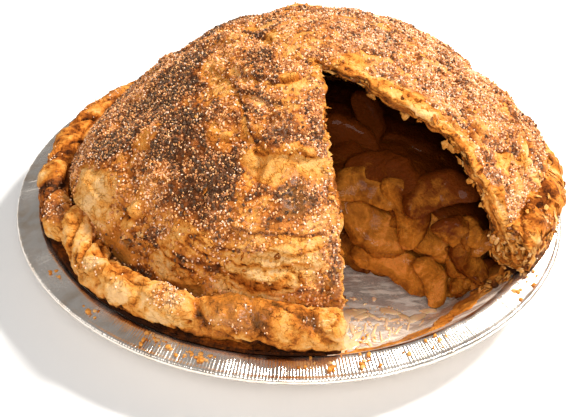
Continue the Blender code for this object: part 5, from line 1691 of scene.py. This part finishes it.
# Spilled juice on the bare floor: place in mm, radius, stretch and turn in degrees
JUICE_SPOTS = [
    (23, -88, 5.5, 1.5, 80), (28, -82, 4.5, 1.3, 30), (26, -76, 4.0, 1.6, 100), (33, -85, 2.6, 1.8, 20),
    (32, -76, 2.8, 1.9, 60), (38, -82, 2.2, 2.4, 110), (40, -72, 2.0, 2.6, 75), (46, -66, 1.8, 2.2, 80),
    (51, -71, 1.8, 2.4, 60), (27, -64, 4.2, 1.5, 90), (60, -62, 3.6, 1.5, 40), (66, -57, 3.0, 1.4, 10),
    (55, -62, 2.4, 1.8, 150), (45, -78, 1.6, 2.2, 30), (35, -62, 3.0, 1.5, 30), (48, -58, 3.6, 1.6, 160),
    (24, -70, 6.5, 1.4, 70), (30, -60, 5.0, 1.5, 20), (30, -71, 2.4, 2.0, 100), (36, -70, 1.6, 2.6, 85),
    (43, -76, 1.5, 2.8, 95), (50, -64, 2.0, 2.2, 20), (56, -68, 1.4, 2.8, 75), (62, -66, 1.5, 2.6, 60),
    (40, -62, 2.2, 2.0, 140), (47, -73, 1.3, 2.4, 80), (33, -92, 3.0, 1.7, 10), (28, -92, 4.0, 1.3, 150),
    (43, -88, 2.0, 2.0, 15), (68, -62, 2.0, 1.8, 30), (52, -80, 1.2, 2.2, 40), (37, -77, 1.2, 2.6, 88),
]


def build_juice():
    """Puddles and droplets of milky caramel juice on the foil."""
    rng = np.random.default_rng(23)
    points, faces = [], []
    for index, (x, y, radius, stretch, turn) in enumerate(JUICE_SPOTS):
        join(points, faces, *blob_parts((x * MM, y * MM, FOIL), radius * MM, stretch, math.radians(turn),
                                        0.55 * MM, index))
    placed = 0
    while placed < 95:
        x, y = rng.uniform(22, 84) * MM, rng.uniform(-96, -48) * MM
        if math.hypot(x, y) > 88 * MM or y > -0.62 * x - 24 * MM or x < 20 * MM - 0.1 * y:
            continue
        radius = rng.choice([0.5, 0.7, 1.0, 1.4], p=[0.35, 0.3, 0.2, 0.15]) * MM
        join(points, faces, *blob_parts((x, y, FOIL), radius, rng.uniform(1.0, 1.4), rng.uniform(0, 3),
                                        radius * 0.55, 100 + placed, rings=3, count=10))
        placed += 1
    return mesh_from("spilled_juice", points, faces)


def build_crumbs():
    """Crumbs fallen on the flange and on the floor, thicker where the crust broke."""
    rng = np.random.default_rng(31)
    points, faces, bakes = [], [], []
    heaps = [(-146, 126, 5, 3.0), (-131, 126.5, 6, 3.0), (-116, 125.5, 16, 5.0), (-108, 126, 20, 5.0),
             (-84, 125, 12, 5.0), (-76, 124, 10, 4.0), (-30, 126, 12, 4.0), (-37, 125, 8, 3.0),
             (-60, 125, 8, 6.0),
             (70, 126, 8, 10.0), (150, 127, 8, 10.0), (110, 126, 8, 12.0)]
    icosphere = bmesh.new()
    bmesh.ops.create_icosphere(icosphere, subdivisions=2, radius=0.5)
    unit = np.array([vertex.co[:] for vertex in icosphere.verts])
    unit_faces = [tuple(vertex.index for vertex in face.verts) for face in icosphere.faces]
    icosphere.free()
    slope = (FLANGE_OUTER_HEIGHT
             - FLANGE_INNER_HEIGHT + 1.2 * MM) / (TIN_RADIUS - FLANGE_INNER_RADIUS - 2 * MM)

    def add(place, size, squash, bake):
        form = unit * size * (1.0 + 0.45 * ripple(unit * 0.7 + rng.uniform(0, 9), 450, 601)[:, None])
        form = form * np.array([1.0, rng.uniform(0.6, 1.0), squash])
        turn = rng.uniform(0, 6.28)
        x = form[:, 0] * math.cos(turn) - form[:, 1] * math.sin(turn)
        y = form[:, 0] * math.sin(turn) + form[:, 1] * math.cos(turn)
        form = stack(x, y, form[:, 2] - form[:, 2].min()) + place
        join(points, faces, form, unit_faces)
        bakes.extend([bake] * len(form))

    for degrees, radius, count, spread in heaps:
        for _ in range(count):
            angle = math.radians(degrees + rng.normal(0, spread / 2.2))
            reach = min(max(radius + rng.normal(0, 1.6), 121.5), 129.5) * MM
            height = FLANGE_INNER_HEIGHT + (reach - FLANGE_INNER_RADIUS) * slope - 0.1 * MM
            add(np.array([reach * math.cos(angle), reach * math.sin(angle), height]),
                rng.uniform(0.7, 2.6) * MM, rng.uniform(0.35, 0.8),
                float(np.clip(rng.normal(0.24, 0.14), 0.05, 0.8)))
    for _ in range(16):
        add(np.array([rng.uniform(24, 40) * MM, rng.uniform(-106, -88) * MM,
                      FOIL + 0.1 * MM]) * np.array([1, 0.85, 1]),
            rng.uniform(0.6, 2.0) * MM, 0.6, 0.35)
    return mesh_from("loose_crumbs", points, faces, pastry_layers(bakes, 0.2))


# Settings

class PieCrustSettings(bpy.types.PropertyGroup):
    sugar_grains: FloatProperty(name="Sugar Grains",
                                description="Clear grains of sugar per square metre of crust",
                                default=300000.0, min=0.0)
    grain_size: FloatProperty(name="Grain Size", description="Size of the largest sugar grain",
                              default=1.05 * MM, min=0.0002, unit="LENGTH", subtype="DISTANCE")
    seed: IntProperty(name="Seed", description="Changes where every grain lies", default=7, min=0)


class PieFillingSettings(bpy.types.PropertyGroup):
    flesh_colour: FloatVectorProperty(name="Apple Flesh", description="Colour of the palest cooked apple",
                                      default=(0.47, 0.155, 0.016), size=3, subtype="COLOR", min=0.0, max=1.0)
    syrup_colour: FloatVectorProperty(name="Syrup",
                                      description="Colour of the thick syrup between the apples",
                                      default=(0.120, 0.023,
                                               0.002), size=3, subtype="COLOR", min=0.0, max=1.0)


class PieTinSettings(bpy.types.PropertyGroup):
    foil_colour: FloatVectorProperty(name="Foil", description="Colour of the bare foil",
                                     default=(0.80, 0.735, 0.665), size=3, subtype="COLOR", min=0.0, max=1.0)
    wrinkle_depth: FloatProperty(name="Wrinkle Depth", description="Height of the flange's gathered wrinkles",
                                 default=0.62 * MM, min=0.0, unit="LENGTH", subtype="DISTANCE")


class PieStageSettings(bpy.types.PropertyGroup):
    lens: FloatProperty(name="Lens", description="Focal length of the camera in millimetres", default=75.99,
                        min=1.0)
    key_power: FloatProperty(name="Key Light", description="Power of the key light in watts", default=22.0,
                             min=0.0)
    floor_colour: FloatVectorProperty(name="Floor", description="Colour of the plain floor",
                                      default=(0.90, 0.90, 0.90), size=3, subtype="COLOR", min=0.0, max=1.0)


# Operators

class APPLEPIE_OT_tin(bpy.types.Operator):
    """Foil tin: bowl, wrinkled flange and rolled lip"""
    bl_idname = "applepie.tin"
    bl_label = "Foil Tin"

    def execute(self, context):
        settings = context.scene.pie_tin
        add_piece("tin_bowl", build_bowl(), foil_material("scuffed_foil", settings, 1.0), "pie_tin")
        add_piece("tin_flange", build_flange(settings), foil_material("bright_foil", settings, 0.0),
                  "pie_tin")
        return {"FINISHED"}


class APPLEPIE_OT_bottom_crust(bpy.types.Operator):
    """Bottom crust and what is left of it on the wall in the open slice"""
    bl_idname = "applepie.bottom_crust"
    bl_label = "Bottom Crust"

    def execute(self, context):
        dough = pastry_material("stained_pastry", 0.6)
        add_piece("bottom_dough", build_bottom(), dough, "bottom_crust")
        add_piece("wall_residue", build_residue(), dough, "bottom_crust")
        return {"FINISHED"}


class APPLEPIE_OT_filling(bpy.types.Operator):
    """Apple wedges over a core of fruit and syrup"""
    bl_idname = "applepie.filling"
    bl_label = "Apple Filling"

    def execute(self, context):
        fruit = apple_material(context.scene.pie_filling)
        add_piece("filling_core", build_heap(), fruit, "apple_filling")
        add_piece("apple_slices", build_wedges(), fruit, "apple_filling")
        juice = juice_material("milky_juice", (0.94, 0.63, 0.38), (0.84, 0.47, 0.23))
        add_piece("spilled_juice", build_juice(), juice)
        return {"FINISHED"}


class APPLEPIE_OT_top_crust(bpy.types.Operator):
    """Domed top crust and the rolled edge"""
    bl_idname = "applepie.top_crust"
    bl_label = "Top Crust"

    def execute(self, context):
        baked = pastry_material("golden_pastry", 0.9)
        add_piece("crust_dome", build_dome(), baked, "top_crust")
        left_cut = float(cut_azimuth(SLICE_LEFT_SIDE, np.array(113 * MM)))
        right_cut = float(cut_azimuth(SLICE_RIGHT_SIDE, np.array(115 * MM)))
        front = build_roll("front_roll", np.linspace(FRONT_ROLL_START, left_cut, 175), front_roll_form,
                           FRONT_ROLL_START, 4.0, SLICE_LEFT_SIDE, 120)
        add_piece("front_roll", front, baked, "top_crust")
        back = build_roll("back_roll", np.linspace(BACK_ROLL_END, right_cut, 520), back_roll_form,
                          BACK_ROLL_END, 4.08, SLICE_RIGHT_SIDE, 160)
        add_piece("back_roll", back, baked, "top_crust")
        add_piece("crust_flakes", build_flakes(), baked, "top_crust")
        return {"FINISHED"}


class APPLEPIE_OT_sugar(bpy.types.Operator):
    """Coarse sugar baked onto the crust"""
    bl_idname = "applepie.sugar"
    bl_label = "Sugar"

    def execute(self, context):
        settings = context.scene.pie_crust
        clear = sugar_material("clear_crystals", (0.97, 0.70, 0.52), (0.15, 0.036, 0.005), 0.0)
        caramel = sugar_material("caramel_crystals", (0.92, 0.45, 0.15), (0.045, 0.011, 0.002), 0.16)
        # The caramel cover is heavier on the side away from the key light: painted shade.
        # Name, surface, finish, share of the density, least and largest size, shift of the seed, cover layer
        for name, surface, finish, share, least, most, shift, layer in (
                ("clear_sugar", "crust_dome", clear, 2.2, 0.50, 1.0, 0, "sugar"),
                ("caramel_sugar", "crust_dome", caramel, 1.8, 0.45, 1.0, 31, "caramel"),
                ("front_roll_sugar", "front_roll", clear, 1.5, 0.40, 0.85, 3, "sugar"),
                ("back_roll_sugar", "back_roll", clear, 1.5, 0.40, 0.85, 3, "sugar")):
            strew(name, bpy.data.objects[surface].data, {
                "Density": settings.sugar_grains * share, "Cover Layer": layer,
                "Smallest": settings.grain_size * least, "Largest": settings.grain_size * most,
                "Lift": settings.grain_size * 0.26, "Seed": settings.seed + shift, "Finish": finish})
        return {"FINISHED"}


class APPLEPIE_OT_crumbs(bpy.types.Operator):
    """Loose crumbs on the flange and floor"""
    bl_idname = "applepie.crumbs"
    bl_label = "Crumbs"

    def execute(self, context):
        add_piece("loose_crumbs", build_crumbs(), pastry_material("crumb_pastry", 0.4))
        return {"FINISHED"}


class APPLEPIE_OT_stage(bpy.types.Operator):
    """Plain floor, soft lights and the camera"""
    bl_idname = "applepie.stage"
    bl_label = "Stage"

    def execute(self, context):
        settings = context.scene.pie_stage
        build_floor(settings)
        build_lights(settings)
        build_camera(settings)
        return {"FINISHED"}


def build_floor(settings):
    material, _, shader = new_material("stage_floor")
    shader.inputs["Base Color"].default_value = (*settings.floor_colour, 1.0)
    shader.inputs["Roughness"].default_value = 0.75
    mesh = bpy.data.meshes.new("stage_floor")
    sheet = bmesh.new()
    bmesh.ops.create_grid(sheet, x_segments=2, y_segments=2, size=6.0)
    sheet.to_mesh(mesh)
    sheet.free()
    mesh.transform(Matrix.Translation((0.0, 0.0, CAD_BOX[0][2] - 0.0002)))
    mesh.materials.append(material)
    floor = bpy.data.objects.new("stage_floor", mesh)
    bpy.context.scene.collection.objects.link(floor)


def add_light(name, place, target, size, power, colour):
    light = bpy.data.lights.new(name, "AREA")
    light.shape = "DISK"
    light.size = size
    light.energy = power
    light.color = colour
    lamp = bpy.data.objects.new(name, light)
    bpy.context.scene.collection.objects.link(lamp)
    lamp.location = place
    lamp.rotation_euler = (Vector(target) - Vector(place)).to_track_quat("-Z", "Y").to_euler()


def build_lights(settings):
    world = bpy.data.worlds.new("studio")
    bpy.context.scene.world = world
    world.use_nodes = True
    background = world.node_tree.nodes["Background"]
    background.inputs["Color"].default_value = (1.0, 0.99, 0.98, 1.0)
    background.inputs["Strength"].default_value = 0.31
    target = (0.0, 0.0, 0.05)
    add_light("key", (0.70, 0.15, 1.00), target, 0.25, settings.key_power * 1.15, (1.0, 0.96, 0.90))
    add_light("front_fill", (0.05, -1.1, 0.95), target, 0.6, settings.key_power * 0.5, (1.0, 0.97, 0.94))
    add_light("left_fill", (-1.1, -0.3, 0.6), target, 0.8, settings.key_power * 0.12, (1.0, 0.98, 0.96))


def build_camera(settings):
    scene = bpy.context.scene
    lens = bpy.data.cameras.new("camera")
    lens.lens = settings.lens
    lens.sensor_width = 36.0
    lens.sensor_fit = "HORIZONTAL"
    lens.clip_start = 0.01
    camera = bpy.data.objects.new("camera", lens)
    scene.collection.objects.link(camera)
    pitch, roll = 0.63366, 0.02702
    ahead = Vector((0.0, math.cos(pitch), -math.sin(pitch)))
    level = Vector((1.0, 0.0, 0.0))
    up = Vector((0.0, math.sin(pitch), math.cos(pitch)))
    across = math.cos(roll) * level + math.sin(roll) * up
    above = -math.sin(roll) * level + math.cos(roll) * up
    turn = Matrix((across, above, -ahead)).transposed().to_4x4()
    camera.matrix_world = Matrix.Translation((-0.56 * MM, -487.5 * MM, 373.8 * MM)) @ turn
    scene.camera = camera
    scene.view_settings.view_transform = "Standard"


class APPLEPIE_PT_pie(bpy.types.Panel):
    """Lists the pieces of the pie"""
    bl_idname = "APPLEPIE_PT_pie"
    bl_label = "Apple Pie"
    bl_space_type = "VIEW_3D"
    bl_region_type = "UI"
    bl_category = "Apple Pie"

    def draw(self, context):
        layout = self.layout
        for holder in ("pie_tin", "pie_filling", "pie_crust", "pie_stage"):
            group = getattr(context.scene, holder)
            for key in group.bl_rna.properties.keys():
                if key not in {"rna_type", "name"}:
                    layout.prop(group, key)
        for operator in OPERATORS:
            layout.operator(operator.bl_idname)


SETTINGS = (PieCrustSettings, PieFillingSettings, PieTinSettings, PieStageSettings)
OPERATORS = (APPLEPIE_OT_tin, APPLEPIE_OT_bottom_crust, APPLEPIE_OT_filling, APPLEPIE_OT_top_crust,
             APPLEPIE_OT_sugar, APPLEPIE_OT_crumbs, APPLEPIE_OT_stage)
HOLDERS = {"pie_crust": PieCrustSettings, "pie_filling": PieFillingSettings, "pie_tin": PieTinSettings,
           "pie_stage": PieStageSettings}


def register():
    for entry in SETTINGS + OPERATORS + (APPLEPIE_PT_pie,):
        bpy.utils.register_class(entry)
    for holder, group in HOLDERS.items():
        setattr(bpy.types.Scene, holder, PointerProperty(type=group))


def unregister():
    for holder in HOLDERS:
        delattr(bpy.types.Scene, holder)
    for entry in reversed(SETTINGS + OPERATORS + (APPLEPIE_PT_pie,)):
        bpy.utils.unregister_class(entry)


def main():
    register()
    for operator in OPERATORS:
        group, name = operator.bl_idname.split(".")
        getattr(getattr(bpy.ops, group), name)()


if __name__ == "__main__":
    main()
